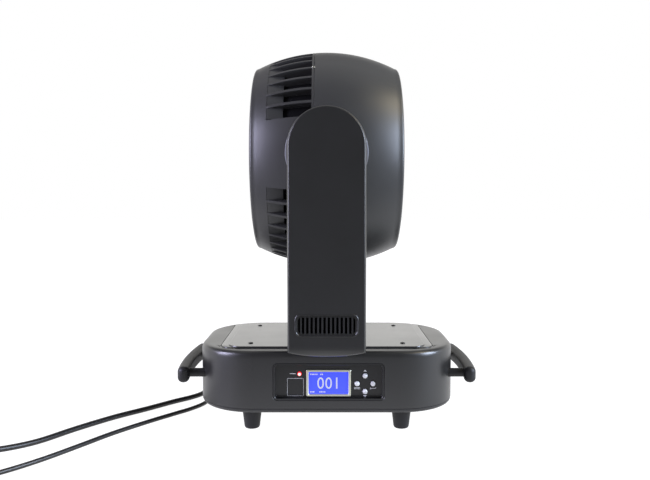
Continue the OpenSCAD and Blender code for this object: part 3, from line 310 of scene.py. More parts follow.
def solid(name, *shapes):
    """An object from shapes in mm: doubles merged and faces turned outwards."""
    mesh = bpy.data.meshes.new(name)
    points, faces = [], []
    for p, f in shapes:
        faces += [tuple(i + len(points) for i in face) for face in f]
        points += [(x * MM, y * MM, z * MM) for x, y, z in p]
    mesh.from_pydata(points, [], faces)
    work = bmesh.new()
    work.from_mesh(mesh)
    bmesh.ops.remove_doubles(work, verts=work.verts, dist=1e-6)
    bmesh.ops.dissolve_degenerate(work, edges=work.edges, dist=1e-7)
    bmesh.ops.recalc_face_normals(work, faces=work.faces)
    work.to_mesh(mesh)
    work.free()
    thing = bpy.data.objects.new(name, mesh)
    bpy.context.scene.collection.objects.link(thing)
    return thing


def plain(thing):
    """Turns what the modifiers make into the object's own mesh."""
    dg = bpy.context.evaluated_depsgraph_get()
    made = bpy.data.meshes.new_from_object(thing.evaluated_get(dg))
    thing.modifiers.clear()
    thing.data = made
    made.name = thing.name
    return thing


def cut(thing, *shapes, operation="DIFFERENCE"):
    """Takes shapes away from an object, one after another."""
    for shape in shapes:
        tool = solid("tool", shape)
        change = thing.modifiers.new("cut", "BOOLEAN")
        change.operation, change.object, change.solver = operation, tool, "EXACT"
        plain(thing)
        bpy.data.objects.remove(tool)
    return thing


def piece(thing, body, slot, *replaces, finish=None, angle=32):
    """Gives a finished object its material and shading, and fixes it to its body."""
    thing.data.materials.clear()
    thing.data.materials.append(finish or FINISH[slot])
    if thing.type == "MESH":
        for face in thing.data.polygons:
            face.material_index, face.use_smooth = 0, True
        thing.data.set_sharp_from_angle(angle=radians(angle))
    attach(thing, body)
    if replaces:
        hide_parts(*replaces)
    return thing


def turned(name, profile, steps, place, *riding, loop=False, **looks):
    """A piece that is one turned shape at its place. The rest is as for piece."""
    return piece(solid(name, moved(lathe(profile, steps, loop), place)), *riding, **looks)


# ---------------------------------------------------------------- geometry nodes for what repeats

def tree_with(name, sizes):
    """A new geometry tree whose named inputs are sizes: (name, socket kind, value)."""
    tree = bpy.data.node_groups.new(name, "GeometryNodeTree")
    for direction in ("INPUT", "OUTPUT"):
        tree.interface.new_socket("Geometry", in_out=direction, socket_type="NodeSocketGeometry")
    for label, kind, value in sizes:
        socket = tree.interface.new_socket(label, in_out="INPUT", socket_type=kind)
        if value is not None:
            socket.default_value = value
    return tree, add(tree, "NodeGroupInput").outputs


def ends(tree, geometry, finish):
    """The tree's end: real geometry with its material."""
    real = add(tree, "GeometryNodeRealizeInstances", links={0: geometry})
    named = add(tree, "GeometryNodeSetMaterial", links={0: real.outputs[0], "Material": finish})
    add(tree, "NodeGroupOutput", links={0: named.outputs[0]})


def turned_copies():
    """Copies of the object's mesh turned round an axis through Centre, Pitch apart, from First."""
    tree, given = tree_with("turned_copies", (
        ("Count", "NodeSocketInt", 8), ("First", "NodeSocketFloat", 0.0), ("Pitch", "NodeSocketFloat", 0.1),
        ("Axis", "NodeSocketVector", (1, 0, 0)), ("Centre", "NodeSocketVector", (0, 0, 0)),
        ("Material", "NodeSocketMaterial", None)))
    spots = add(tree, "GeometryNodePoints", links={"Count": given["Count"], "Position": given["Centre"]})
    index = add(tree, "GeometryNodeInputIndex")
    angle = add(tree, "ShaderNodeMath", {"operation": "MULTIPLY_ADD"},
                {0: index.outputs[0], 1: given["Pitch"], 2: given["First"]})
    turn = add(tree, "FunctionNodeAxisAngleToRotation",
               links={"Axis": given["Axis"], "Angle": angle.outputs[0]})
    copies = add(tree, "GeometryNodeInstanceOnPoints", links={
        "Points": spots.outputs[0], "Instance": given["Geometry"], "Rotation": turn.outputs[0]})
    ends(tree, copies.outputs[0], given["Material"])
    return tree


def copies_in_line():
    """Copies of the object's mesh at equal steps."""
    tree, given = tree_with("copies_in_line", (
        ("Count", "NodeSocketInt", 8), ("Start", "NodeSocketVector", (0, 0, 0)),
        ("Step", "NodeSocketVector", (0.01, 0, 0)), ("Material", "NodeSocketMaterial", None)))
    spots = add(tree, "GeometryNodeMeshLine", links={
        "Count": given["Count"], "Start Location": given["Start"], "Offset": given["Step"]})
    copies = add(tree, "GeometryNodeInstanceOnPoints", links={
        "Points": spots.outputs[0], "Instance": given["Geometry"]})
    ends(tree, copies.outputs[0], given["Material"])
    return tree


def lens_pattern():
    """Copies of the object's mesh on a hexagonal pattern in the YZ plane: the points of a triangular grid
    that are within Rings steps of the middle."""
    tree, given = tree_with("lens_pattern", (
        ("Rings", "NodeSocketInt", 3), ("Pitch", "NodeSocketFloat", 0.03),
        ("Centre", "NodeSocketVector", (0, 0, 0)), ("Material", "NodeSocketMaterial", None)))
    across = add(tree, "ShaderNodeMath", {"operation": "MULTIPLY_ADD", 1: 2.0, 2: 1.0}, {0: given["Rings"]})
    count = add(tree, "ShaderNodeMath", {"operation": "MULTIPLY"},
                {0: across.outputs[0], 1: across.outputs[0]})
    spots = add(tree, "GeometryNodePoints", links={"Count": count.outputs[0]})
    index = add(tree, "GeometryNodeInputIndex")
    row = add(tree, "ShaderNodeMath", {"operation": "DIVIDE"}, {0: index.outputs[0], 1: across.outputs[0]})
    row = add(tree, "ShaderNodeMath", {"operation": "FLOOR"}, {0: row.outputs[0]})
    column = add(tree, "ShaderNodeMath", {"operation": "FLOORED_MODULO"},
                 {0: index.outputs[0], 1: across.outputs[0]})
    u, v = [add(tree, "ShaderNodeMath", {"operation": "SUBTRACT"}, {0: count.outputs[0], 1: given["Rings"]})
            for count in (column, row)]
    both = add(tree, "ShaderNodeMath", {"operation": "ADD"}, {0: u.outputs[0], 1: v.outputs[0]})
    size = add(tree, "ShaderNodeMath", {"operation": "ABSOLUTE"}, {0: both.outputs[0]})
    inside = add(tree, "FunctionNodeCompare", {"data_type": "FLOAT", "operation": "GREATER_THAN"},
                 {0: size.outputs[0], 1: given["Rings"]})
    half = add(tree, "ShaderNodeMath", {"operation": "MULTIPLY_ADD", 1: 0.5},
               {0: v.outputs[0], 2: u.outputs[0]})
    rise = add(tree, "ShaderNodeMath", {"operation": "MULTIPLY", 1: sqrt(3) / 2}, {0: v.outputs[0]})
    flat = add(tree, "ShaderNodeCombineXYZ", links={"Y": half.outputs[0], "Z": rise.outputs[0]})
    place = add(tree, "ShaderNodeVectorMath", {"operation": "SCALE"},
                {0: flat.outputs[0], "Scale": given["Pitch"]})
    place = add(tree, "ShaderNodeVectorMath", {"operation": "ADD"}, {0: place.outputs[0], 1: given["Centre"]})
    set_at = add(tree, "GeometryNodeSetPosition",
                 links={"Geometry": spots.outputs[0], "Position": place.outputs[0]})
    kept = add(tree, "GeometryNodeDeleteGeometry", {"domain": "POINT"},
               {"Geometry": set_at.outputs[0], "Selection": inside.outputs[0]})
    copies = add(tree, "GeometryNodeInstanceOnPoints", links={
        "Points": kept.outputs[0], "Instance": given["Geometry"]})
    ends(tree, copies.outputs[0], given["Material"])
    return tree


TREES = {t.__name__: t() for t in (turned_copies, copies_in_line, lens_pattern)}


def repeated(thing, tree_name, finish, **sizes):
    """Runs a tree on an object, with its inputs in metres and radians, and keeps the plain mesh."""
    change = thing.modifiers.new(tree_name, "NODES")
    change.node_group = TREES[tree_name]
    values = {"Material": finish, **sizes}
    for item in TREES[tree_name].interface.items_tree:
        if item.in_out == "INPUT" and item.name in values:
            change[item.identifier] = values[item.name]
    return plain(thing)


def at_four(thing, finish, first, second):
    """Four copies of a mesh: at its place, and a first and a second step, in mm, away."""
    for step in (first, second):
        repeated(thing, "copies_in_line", finish, Count=2, Step=[v * MM for v in step])
    return thing


# ---------------------------------------------------------------- leads

MAINS = [(20, 141, 60), (20, 152, 60), (18, 164, 58), (13, 177, 52), (4, 189, 43), (-9, 199, 33),
         (-25, 206, 23), (-43, 211, 14), (-62, 214, 8), (-82, 214, 5), (-106, 210, 4), (-131, 201, 4),
         (-154, 184, 4), (-171, 159, 4), (-182, 130, 4), (-189, 98, 4), (-195, 67, 4), (-208, 46, 4),
         (-230, 24, 4), (-262, -12, 4), (-298, -50, 4), (-334, -98, 4), (-364, -144, 4), (-390, -178, 7.5),
         (-412, -206, 14), (-432, -233, 20.5), (-450, -257, 22)]
SIGNAL = [(-60, 158, 60), (-60, 168, 60), (-61, 179, 58), (-66, 189, 52), (-75, 196, 44), (-88, 199, 35),
          (-102, 197, 25), (-116, 190, 15), (-129, 180, 8), (-141, 166, 4), (-151, 149, 3), (-160, 127, 3),
          (-168, 102, 3), (-175, 73, 3), (-179, 44, 3), (-184, 17, 3), (-198, -8, 3), (-217, -31, 3),
          (-246, -66, 3), (-280, -112, 3), (-308, -158, 3), (-336, -202, 3), (-364, -240, 4),
          (-386, -270, 8), (-409, -303, 17), (-431, -335, 22)]
TAIL_FLAT = 20                          # straight length between a coil and the rise to its connector
MAINS_THICK, SIGNAL_THICK = 7.5, 6


def smooth_route(route, steps=5):
    """Points of a smooth curve through a route."""
    p = [Vector(q) for q in route]
    p = [2 * p[0] - p[1]] + p + [2 * p[-1] - p[-2]]
    line = []
    for i in range(1, len(p) - 2):
        a, b, c, d = p[i - 1:i + 3]
        for k in range(steps):
            t = k / steps
            line.append(0.5 * (2 * b + t * (c - a) + t * t * (2 * a - 5 * b + 4 * c - d)
                               + t ** 3 * (3 * b - a - 3 * c + d)))
    return line + [p[-2]]


def coiled(route, middle, radius, thick, last_angle, turns, top, run):
    """A route that winds down a round coil, clockwise seen from above, and then rises into its connector."""
    line = smooth_route(route)
    first = degrees(atan2(route[-1][1] - middle[1], route[-1][0] - middle[0]))
    sweep = (first - last_angle) % 360 + 360 * int(turns)
    start, low, count = route[-1][2], thick / 2, int(36 * turns)
    for i in range(1, count + 1):
        a = radians(first - sweep * i / count)
        line.append(Vector((middle[0] + radius * cos(a), middle[1] + radius * sin(a),
                            start + (low - start) * i / count)))
    end = line[-1]
    ahead = Vector((sin(radians(last_angle)), -cos(radians(last_angle)), 0))
    line += [end + ahead * TAIL_FLAT * i / 4 for i in range(1, 5)]
    for i in range(1, 13):
        t = i / 12
        line.append(end + ahead * (TAIL_FLAT + run * t) + Vector((0, 0, (top - low) * t * t * (3 - 2 * t))))
    return line


def lead(name, line, thick, *replaces):
    curve = bpy.data.curves.new(name, "CURVE")
    curve.dimensions, curve.use_fill_caps = "3D", True
    curve.bevel_depth, curve.bevel_resolution = thick * MM / 2, 4
    spline = curve.splines.new("POLY")
    spline.points.add(len(line) - 1)
    for point, place in zip(spline.points, line):
        point.co = (*(place * MM), 1)
    thing = bpy.data.objects.new(name, curve)
    bpy.context.scene.collection.objects.link(thing)
    return piece(thing, "base", "lead_pvc", *replaces)


mains_line = coiled(MAINS, (-482, -231), 41, MAINS_THICK, 180, 2, 16, 36)
signal_line = coiled(SIGNAL, (-460, -315), 35, SIGNAL_THICK, -90, 3, 10.5, 26)
mains_lead = lead("mains_lead_sheath", mains_line, MAINS_THICK, "mains_lead", "mains_coil")
signal_lead = lead("signal_lead_sheath", signal_line, SIGNAL_THICK, "signal_lead", "signal_coil")

# Moulded plug: ribbed neck, waisted body with grip ridges, and two pins with their sleeves
neck = [(3.9, -2), (5.6, 0)]
for k in range(6):
    r, y = 5.8 + 0.85 * k, 1 + 2.4 * k
    neck += [(r, y), (r, y + 1.3), (r - 0.9, y + 1.5), (r - 0.9, y + 2.2)]
grips = [(15.6, 25), (16, 27), (15.2, 28.2), (16, 29.4), (15.2, 30.6), (16, 31.8), (15.2, 33), (15.9, 34.2)]
plug_line = [(0, -2)] + neck + [(12.5, 16.5), (14.6, 18.5)] + arc(13.5, 23, 2.5, -20, 0, 2) + grips
plug_line += arc(14.4, 36.5, 1.5, 0, 90, 3) + [(0, 38)]
pin = [(0, 36), (2.4, 36), (2.4, 45), (2.35, 45.2), (2.35, 55), (2.0, 56.4), (0.8, 57), (0, 57)]
plug_at = at(-523, -231 + TAIL_FLAT + 32, 16) @ TO_BACK
mains_plug = turned("mains_plug_body", plug_line, 40, plug_at, "base", "plug_plastic", "mains_plug")
two_pins = [moved(lathe(pin, 20), plug_at @ at(x, 0, 0)) for x in (-9.5, 9.5)]
mains_pins = piece(solid("mains_plug_pins", *two_pins), "base", "connector_metal")

# Round cable connector: rubber boot, knurled nut and smooth shell
shell_line = [(0, 12), (8.6, 12), (8.6, 18)]
shell_line += [(10.1 + 0.35 * (k % 2), 18.2 + 0.8 * k) for k in range(12)]
shell_line += [(10.4, 28), (9.7, 28.6), (10.5, 29.6), (10.5, 57), (10.2, 58.6), (9.4, 59.4), (8.6, 59.4),
               (8.6, 50), (0, 50)]
boot_line = [(0, -1), (3.3, -1), (4.0, 0)]
boot_line += [(4.2 + 0.32 * k + 0.5 * (k % 2), 0.8 + 1.3 * k) for k in range(9)]
boot_line += [(8.3, 13), (8.3, 15), (0, 15)]
pin_line = [(0, 49), (1.2, 49), (1.2, 56), (0.8, 57), (0, 57.3)]


def connector(name, place, pin_turns=()):
    """A metal shell with its pins, and a boot."""
    pins = [moved(lathe(pin_line, 12), place @ at(3.8 * cos(a), 3.8 * sin(a), 0)) for a in pin_turns]
    shell = solid(name + "_shell", moved(lathe(shell_line, 48), place), *pins)
    return [piece(shell, "base", "connector_metal", name),
            turned(name + "_boot", boot_line, 32, place, "base", "plug_plastic")]


end_at = at(-460 - TAIL_FLAT - 23, -350, 10.5) @ Matrix.Rotation(-pi / 2, 4, "Y")
end_pieces = connector("signal_end", end_at, (0.3, 2.4, 4.5))
connector("signal_plug", at(SIGNAL_X[0], 158, LEAD_Z) @ TO_FRONT)

# ---------------------------------------------------------------- floor and light

FLOOR_REACH = 9000
floor_corners = [(x * FLOOR_REACH, y * FLOOR_REACH, 0) for x, y in ((-1, -1), (1, -1), (1, 1), (-1, 1))]
floor = solid("floor", (floor_corners, [(0, 1, 2, 3)]))
FLOOR_FAR, FLOOR_NEAR = 0.34, 0.95      # the paper's light in front of the object and round it
FLOOR_SEEN = 1.0                        # what the camera itself sees of it
paper, paper_tree, paper_shader, paper_spot = surface("paper_sweep_white", **{
    "Base Color": linear("#6a6a6a"), "Roughness": 0.9, "Emission Color": linear("#ffffff")})
paper_seen = add(paper_tree, "ShaderNodeLightPath")
paper_place = add(paper_tree, "ShaderNodeSeparateXYZ", links={0: paper_spot})
paper_lit = add(paper_tree, "ShaderNodeMapRange",
                {"From Min": -0.40, "From Max": -0.22, "To Min": FLOOR_FAR, "To Max": FLOOR_NEAR},
                {"Value": paper_place.outputs["Y"]})
paper_glow = add(paper_tree, "ShaderNodeMapRange", {"To Max": FLOOR_SEEN},
                 {"Value": paper_seen.outputs["Is Camera Ray"], "To Min": paper_lit.outputs[0]})
paper_tree.links.new(paper_glow.outputs[0], paper_shader.inputs["Emission Strength"])
floor.data.materials.append(paper)


def softbox(name, place, target, size, watts, colour="#ffffff"):
    light = bpy.data.lights.new(name, "AREA")
    light.shape, light.size, light.size_y, light.energy = "RECTANGLE", size[0], size[1], watts
    light.color = linear(colour)[:3]
    thing = bpy.data.objects.new(name, light)
    thing.location = place
    thing.rotation_euler = (Vector(target) - Vector(place)).to_track_quat("-Z", "Y").to_euler()
    bpy.context.scene.collection.objects.link(thing)


softbox("light_over", (0, 0.5, 2.4), (0, 0, 0.2), (2.6, 1.6), 5)
softbox("light_left", (-1.5, -0.6, 0.72), (0, 0, 0.3), (0.6, 1.0), 44, "#e0deff")
softbox("light_right", (1.5, -0.6, 0.78), (0, 0, 0.3), (0.6, 0.9), 50, "#dae7ff")
softbox("light_warm", (0.9, -0.25, 1.25), (0.05, 0, 0.42), (0.5, 0.4), 5, "#ffedc4")

# Dark room on the panel side and above, bright wall behind and beside: faces turned to the panel side stay
# dark, and what is seen at a flat angle turns light. The sky itself is seen as plain white.
world = bpy.data.worlds.new("studio")
bpy.context.scene.world = world
world.use_nodes = True
room = world.node_tree
room.nodes.clear()
where = add(room, "ShaderNodeTexCoord")
heading = add(room, "ShaderNodeSeparateXYZ", links={0: where.outputs["Generated"]})
behind = add(room, "ShaderNodeMapRange", {
    "interpolation_type": "SMOOTHSTEP", "From Min": -0.5, "From Max": 0.45}, {"Value": heading.outputs["Y"]})
low_down = add(room, "ShaderNodeMapRange", {
    "interpolation_type": "SMOOTHSTEP", "From Min": 0.66, "From Max": 0.26}, {"Value": heading.outputs["Z"]})
wall_lit = add(room, "ShaderNodeMath", {"operation": "MULTIPLY"},
               {0: behind.outputs[0], 1: low_down.outputs[0]})
glow = add(room, "ShaderNodeMapRange", {"To Min": 0.26, "To Max": 1.45}, {"Value": wall_lit.outputs[0]})
sky = add(room, "ShaderNodeBackground", {"Color": linear("#fffefb")}, {"Strength": glow.outputs[0]})
white = add(room, "ShaderNodeBackground", {"Color": linear("#ffffff"), "Strength": 1.0})
seen = add(room, "ShaderNodeLightPath")
both_skies = add(room, "ShaderNodeMixShader", links={
    0: seen.outputs["Is Camera Ray"], 1: sky.outputs[0], 2: white.outputs[0]})
add(room, "ShaderNodeOutputWorld", links={"Surface": both_skies.outputs[0]})
bpy.context.scene.view_settings.view_transform = "Standard"

# ---------------------------------------------------------------- base

def slab(w, d, r, levels, steps=12):
    """Rings of a rounded slab: each level is a height and how far the ring is set in."""
    return [[(x, y, z) for x, y in rounded(w - 2 * s, d - 2 * s, r - s, steps)] for z, s in levels]


def rim(z, inset, r, first, last, steps=10):
    """Levels along a fillet whose centre is at height z and set in by inset."""
    turn = [radians(first + (last - first) * i / steps) for i in range(steps + 1)]
    return [(z + r * sin(a), inset - r * cos(a)) for a in turn]


def upright(w, h, r, levels, x=0.0, z=0.0, steps=6):
    """Rings of a rounded outline that stands in X and Z: each level is a place along Y and an inset."""
    return [[(x + a, y, z + b) for a, b in rounded(w - 2 * s, h - 2 * s, max(r - s, 0.3), steps, 0.5)]
            for y, s in levels]


def ring_like(ring, r):
    """A circle in X and Y with its points in the same directions as another ring's."""
    return [(r * cos(atan2(y, x)), r * sin(atan2(y, x))) for x, y in ring]


SHELL_FILLET = BASE_TOP - TOP_FILLET
SHOULDER = 4.6                          # 2 would make the top edge a plain round; more makes it tighter


def shoulder(steps=14):
    """Levels of the housing's top edge: nearly flat from the deck, then quickly round into the wall."""
    power = 2 / SHOULDER
    return [(SHELL_FILLET + TOP_FILLET * sin(a) ** power, TOP_FILLET * (1 - max(cos(a), 0) ** power))
            for a in between(0, pi / 2, steps)]


GROOVE = 3.0                            # more room in front of and behind the deck plate than beside it
housing = solid("base_housing", loft(
    slab(BASE_W, BASE_D, BASE_CORNER,
         [(SHELL_LOW, 0.6), (SHELL_LOW + 0.5, 0.05), (SHELL_LOW + 1, 0), (SHELL_LOW + 3, 0)]
         + [(SHELL_FILLET - 2, 0)] + shoulder() + [(BASE_TOP, TOP_FILLET + 0.3)])
    + slab(PLATE_W, PLATE_D + 2 * GROOVE, PLATE_CORNER,
           [(BASE_TOP, -1.6), (BASE_TOP - 0.3, -1.3), (BASE_TOP - 2.2, -1.3)])
    + slab(PLATE_W, PLATE_D, PLATE_CORNER, [(BASE_TOP - 2.2, LEDGE), (BASE_TOP - WALL, LEDGE)])
    + slab(BASE_W, BASE_D, BASE_CORNER,
           rim(SHELL_FILLET, TOP_FILLET, TOP_FILLET - WALL, 90, 0) + [(SHELL_LOW, WALL)]),
    loop=True))
FRONT_Y, REAR_Y, REAR_IN = -BASE_D / 2, BASE_D / 2, BASE_D / 2 - WALL
STUB_Y, STUB_R, HANDLE_Z = 62, 6, 71
cut(housing,
    loft(upright(PANEL_W, PANEL_H, 6,
                 [(FRONT_Y - 2, -1.6), (FRONT_Y, -0.5), (FRONT_Y + 0.6, 0.02), (FRONT_Y + 8, 0.02)],
                 PANEL_X, PANEL_Z)),
    loft(upright(REAR_W, REAR_H, 4,
                 [(REAR_IN - 3, 0), (REAR_Y - 0.8, 0), (REAR_Y, -0.8), (REAR_Y + 2, -2.8)], 0, LEAD_Z)),
    *[moved(lathe(drill(STUB_R + 0.4, -200, 200), 32), at(0, s * STUB_Y, HANDLE_Z) @ TO_X) for s in (-1, 1)])
piece(housing, "base", "base_plastic", "base_shell")

# Folded and welded tray: its rounded edge shows as a band under the housing
pan = solid("floor_pan", loft(
    slab(BASE_W, BASE_D, BASE_CORNER,
         [(SHELL_LOW - 2.5, WALL), (SHELL_LOW, WALL), (SHELL_LOW, 0.8), (SHELL_LOW - 0.25, 0.3)]
         + rim(BASE_LOW + 5.5, 5.5, -5.2, 180, 90) + [(BASE_LOW + 0.3, 8)])))
socket_x, socket_y = SOCKET_AT
cut(pan, *[moved(lathe(drill(6.5, -3, 12), 32), at(x, y, BASE_LOW))
           for x in (-socket_x, socket_x) for y in (-socket_y, socket_y)])
piece(pan, "base", "pan_paint", "bottom_pan")
socket_ring = [(6.6, 2.6), (6.6, 10.2), (12, 10.2), (12, 2.6),
               (12, -0.2), (11.6, -0.5), (7.2, -0.5), (6.6, 0)]
socket_at = at(-socket_x, -socket_y, BASE_LOW)
sockets = solid("hanging_sockets", moved(lathe(socket_ring, 32, True), socket_at),
                *[moved(block(-1.4, 7.2, -0.9, 1.4, 10.6, 0.2, 0.2), socket_at @ Matrix.Rotation(a, 4, "Z"))
                  for a in (0, pi)])
at_four(sockets, FINISH["psu_steel"], (2 * socket_x, 0, 0), (0, 2 * socket_y, 0))
piece(sockets, "base", "psu_steel")

# Deck plate, pressed: its edge reaches down into a groove of the housing, which shows as a dark line, and its
# middle stands a little higher than the flanges at its ends
RAISED_W, RAISED_CORNER = PLATE_W - 18, 20
deck = solid("deck_cover", loft(
    slab(PLATE_W, PLATE_D, PLATE_CORNER,
         [(BASE_TOP - 2.1, 0.4), (BASE_TOP - 1.7, 0),
          (DECK_TOP - 1.4, 0), (DECK_TOP - 1.15, 0.1), (DECK_TOP - 1.1, 0.25)])
    + slab(RAISED_W, PLATE_D, RAISED_CORNER,
           [(DECK_TOP - 1.1, 0.26), (DECK_TOP - 0.5, 0.3), (DECK_TOP - 0.1, 0.55),
            (DECK_TOP, 0.9), (DECK_TOP, 2)])))
cut(deck, lathe([(0, BASE_TOP - 4), (SHAFT_OPENING_R, BASE_TOP - 4), (SHAFT_OPENING_R, DECK_TOP - 0.8),
                 (SHAFT_OPENING_R + 1.4, DECK_TOP + 0.6), (0, DECK_TOP + 0.6)], 64))
piece(deck, "base", "deck_paint", "deck_plate")


def screw(head_r, head_h, cross):
    """A pan head with a cross recess, its face up, and a short shank."""
    rim_z, slot = head_h * 0.45, cross * 0.22
    head = solid("screw", lathe([(0, -3), (head_r * 0.5, -3), (head_r * 0.5, -0.05), (head_r * 0.95, -0.05),
                                 (head_r, 0.2), (head_r, rim_z)]
                                + arc(0, rim_z, head_r, 18, 72, 3, head_h - rim_z) + [(0, head_h)], 24))
    return cut(head, *[block(-x, -y, head_h * 0.35, x, y, head_h + 1, 0.02) for x,
                       y in ((cross, slot), (slot, cross))])


def settled(thing, name, matrix):
    """Moves a mesh to its place, in mm, with the object still at the origin."""
    matrix = matrix.copy()
    matrix.translation *= MM
    thing.data.transform(matrix)
    thing.name = thing.data.name = name
    return thing


screw_x, screw_y = DECK_SCREW_AT
deck_screws = settled(screw(3.3, 1.3, 1.8), "deck_screw_heads", at(-screw_x, -screw_y, DECK_TOP))
at_four(deck_screws, SCREW_BLACK, (2 * screw_x, 0, 0), (0, 2 * screw_y, 0))
piece(deck_screws, "base", "screw_steel", "deck_screws", finish=SCREW_BLACK)

# ---------------------------------------------------------------- control panel

tray = solid("panel_frame", loft(upright(PANEL_W, PANEL_H, 6, [
    (PANEL_FACE + 2.5, 0), (FRONT_Y + 0.7, 0), (FRONT_Y + 0.3, 0.3), (FRONT_Y + 0.3, 2.1),
    (FRONT_Y + 0.8, 2.6), (PANEL_FACE - 2, 2.7), (PANEL_FACE - 0.7, 2.8), (PANEL_FACE - 0.2, 3.0),
    (PANEL_FACE, 3.5), (PANEL_FACE, 4.5)],
    PANEL_X, PANEL_Z)))
bx, bz = BUTTONS
button_places = {side: at(bx + BUTTON_OFF * cos(turn), PANEL_FACE, bz + BUTTON_OFF * sin(turn)) @ TO_FRONT
                 for side, turn in (("right", 0), ("up", pi / 2), ("left", pi), ("down", 3 * pi / 2))}
led_place = at(LED_AT[0], PANEL_FACE, LED_AT[1]) @ TO_FRONT
cut(tray, block(LCD_X - LCD_W / 2, PANEL_FACE - 4, LCD_Z - LCD_H / 2,
                LCD_X + LCD_W / 2, PANEL_FACE + 6, LCD_Z + LCD_H / 2, 0.05),
    moved(lathe(drill(LED_R + 0.06, -6, 3), 24), led_place),
    *[moved(lathe([(0, -6), (3.5, -6), (3.5, -0.4), (3.9, 0.1), (3.9, 3), (0, 3)], 32), place)
      for place in button_places.values()])
piece(tray, "base", "panel_plastic", "control_panel")

bezel = solid("display_bezel", loft(
    upright(LCD_W + 6.6, LCD_H + 6.4, 1.5,
            [(PANEL_FACE, 0), (PANEL_FACE - 2.4, 0), (PANEL_FACE - 2.9, 0.5)], LCD_X, LCD_Z)
    + upright(LCD_W, LCD_H, 0.5,
              [(PANEL_FACE - 2.9, -0.9), (PANEL_FACE - 2.5, -0.5), (PANEL_FACE - 1.8, 0), (PANEL_FACE, 0)],
              LCD_X, LCD_Z), loop=True))
piece(bezel, "base", "bezel_silver", "lcd_bezel")

SCREEN_Y = PANEL_FACE - 1.6


def mark(x0, z0, x1, z1, y=PANEL_FACE):
    """A thin printed bar on a face that looks along -Y."""
    return block(x0, y - 0.12, z0, x1, y + 0.05, z1, 0.03)


DIGITS_X, DIGITS_Z, DIGITS_W, DIGITS_H = 0.9, 67.2, 26.4, 15.2
digits = bpy.data.curves.new("digits", "FONT")
digits.body, digits.size, digits.extrude, digits.resolution_u = "001", 1.0, 0.004, 6
digits.space_character = 1.08
digit_object = bpy.data.objects.new("display_digits", digits)
bpy.context.scene.collection.objects.link(digit_object)
digit_mesh = bpy.data.meshes.new_from_object(digit_object)
bpy.data.objects.remove(digit_object)
digit_object = bpy.data.objects.new("display_digits", digit_mesh)
bpy.context.scene.collection.objects.link(digit_object)
wide, tall = ([v.co[axis] for v in digit_mesh.vertices] for axis in (0, 1))
for v in digit_mesh.vertices:
    v.co = Vector((DIGITS_X + DIGITS_W * ((v.co.x - min(wide)) / (max(wide) - min(wide)) - 0.5),
                   SCREEN_Y - 0.06 - 20 * v.co.z,
                   DIGITS_Z + DIGITS_H * ((v.co.y - min(tall)) / (max(tall) - min(tall)) - 0.5))) * MM
piece(digit_object, "base", "lcd", finish=SEGMENT_LIT)
SIGN_H = 1.7
piece(solid("display_small_signs", *[mark(x, z, x + w, z + SIGN_H, SCREEN_Y) for z, row in (
    (78.0, ((-21.8, 1.6), (-19.6, 1.3), (-17.8, 1.7), (-15.5, 1.2), (-13.6, 1.5), (-8.4, 1.2), (-6.6, 1.6))),
    (54.6, ((-21.8, 1.6), (-19.7, 1.2), (-17.9, 1.7), (-9.6, 1.5), (-7.5, 1.7), (-5.2, 1.2), (-3.3, 1.5))))
    for x, w in row]), "base", "lcd", finish=SEGMENT_LIT)


def arrow(x, z, w, h):
    """A small printed triangle that points up, or down where h is negative."""
    line = [(x - w / 2, z), (x + w / 2, z), (x, z + h)]
    return loft([[(a, PANEL_FACE + rise, b) for a, b in line] for rise in (0.05, -0.12)])


# Signs beside the buttons, a dash beside the lamp, and a bare frame where a label would go
menu_x, enter_x, sign_z = bx - BUTTON_OFF, bx + BUTTON_OFF, bz - 6.4
box_x0, box_z0, box_x1, box_z1, line_w = -52, 49.6, -30.4, 73.2, 0.45
piece(solid(
    "panel_signs",
    arrow(bx, bz + BUTTON_OFF + 5.6, 4.4, 2.4), arrow(bx, bz - BUTTON_OFF - 5, 5.2, -2.4),
    *[mark(menu_x - 4, sign_z + k, menu_x + 4, sign_z + k + 0.55) for k in (-1, 0, 1)],
    mark(enter_x - 3.6, sign_z - 0.4, enter_x + 4, sign_z + 0.3),
    mark(enter_x + 3.4, sign_z - 0.4, enter_x + 4, sign_z + 1.6),
    mark(enter_x - 3.9, sign_z - 1.1, enter_x - 2.7, sign_z + 1.0),
    mark(-48.8, LED_AT[1] - 0.5, -40.8, LED_AT[1] + 0.5),
    *[mark(box_x0, z, box_x1, z + line_w) for z in (box_z0, box_z1 - line_w)],
    *[mark(x, box_z0, x + line_w, box_z1) for x in (box_x0, box_x1 - line_w)]),
    "base", "panel_plastic", finish=PRINT_WHITE)

lamp_line = [(0, -8.4), (LED_R, -8.4)] + arc(0, 1.6, LED_R, 0, 80, 8, 2.5) + [(0, 4.1)]
turned("status_lamp", lamp_line, 32, led_place, "base", "circuit_board", finish=LED_RED)

button_line = [(0, -4.1), (BUTTON_R + 1.2, -4.1), (BUTTON_R + 1.2, -2.9), (BUTTON_R, -2.9)]
button_line += arc(0, 1.7, BUTTON_R, 0, 80, 8, 1.9) + [(0, 3.6)]
for side, place in button_places.items():
    turned("menu_button_" + side, button_line, 32, place, "button_" + side, "button_plastic", "button_" + side,
           angle=40)

# ---------------------------------------------------------------- handles, feet, rear panel

BOW_R, GRIP_X, BOW_HALF = 600, 199, asin(72 / 600)
grip_half = [(0, 11)] + arc(1, 4, 7, 90, 0, 9) + arc(1, -4, 7, 0, -90, 9) + [(0, -11)]
grip_section = grip_half + [(-u, v) for u, v in grip_half[-2:0:-1]]


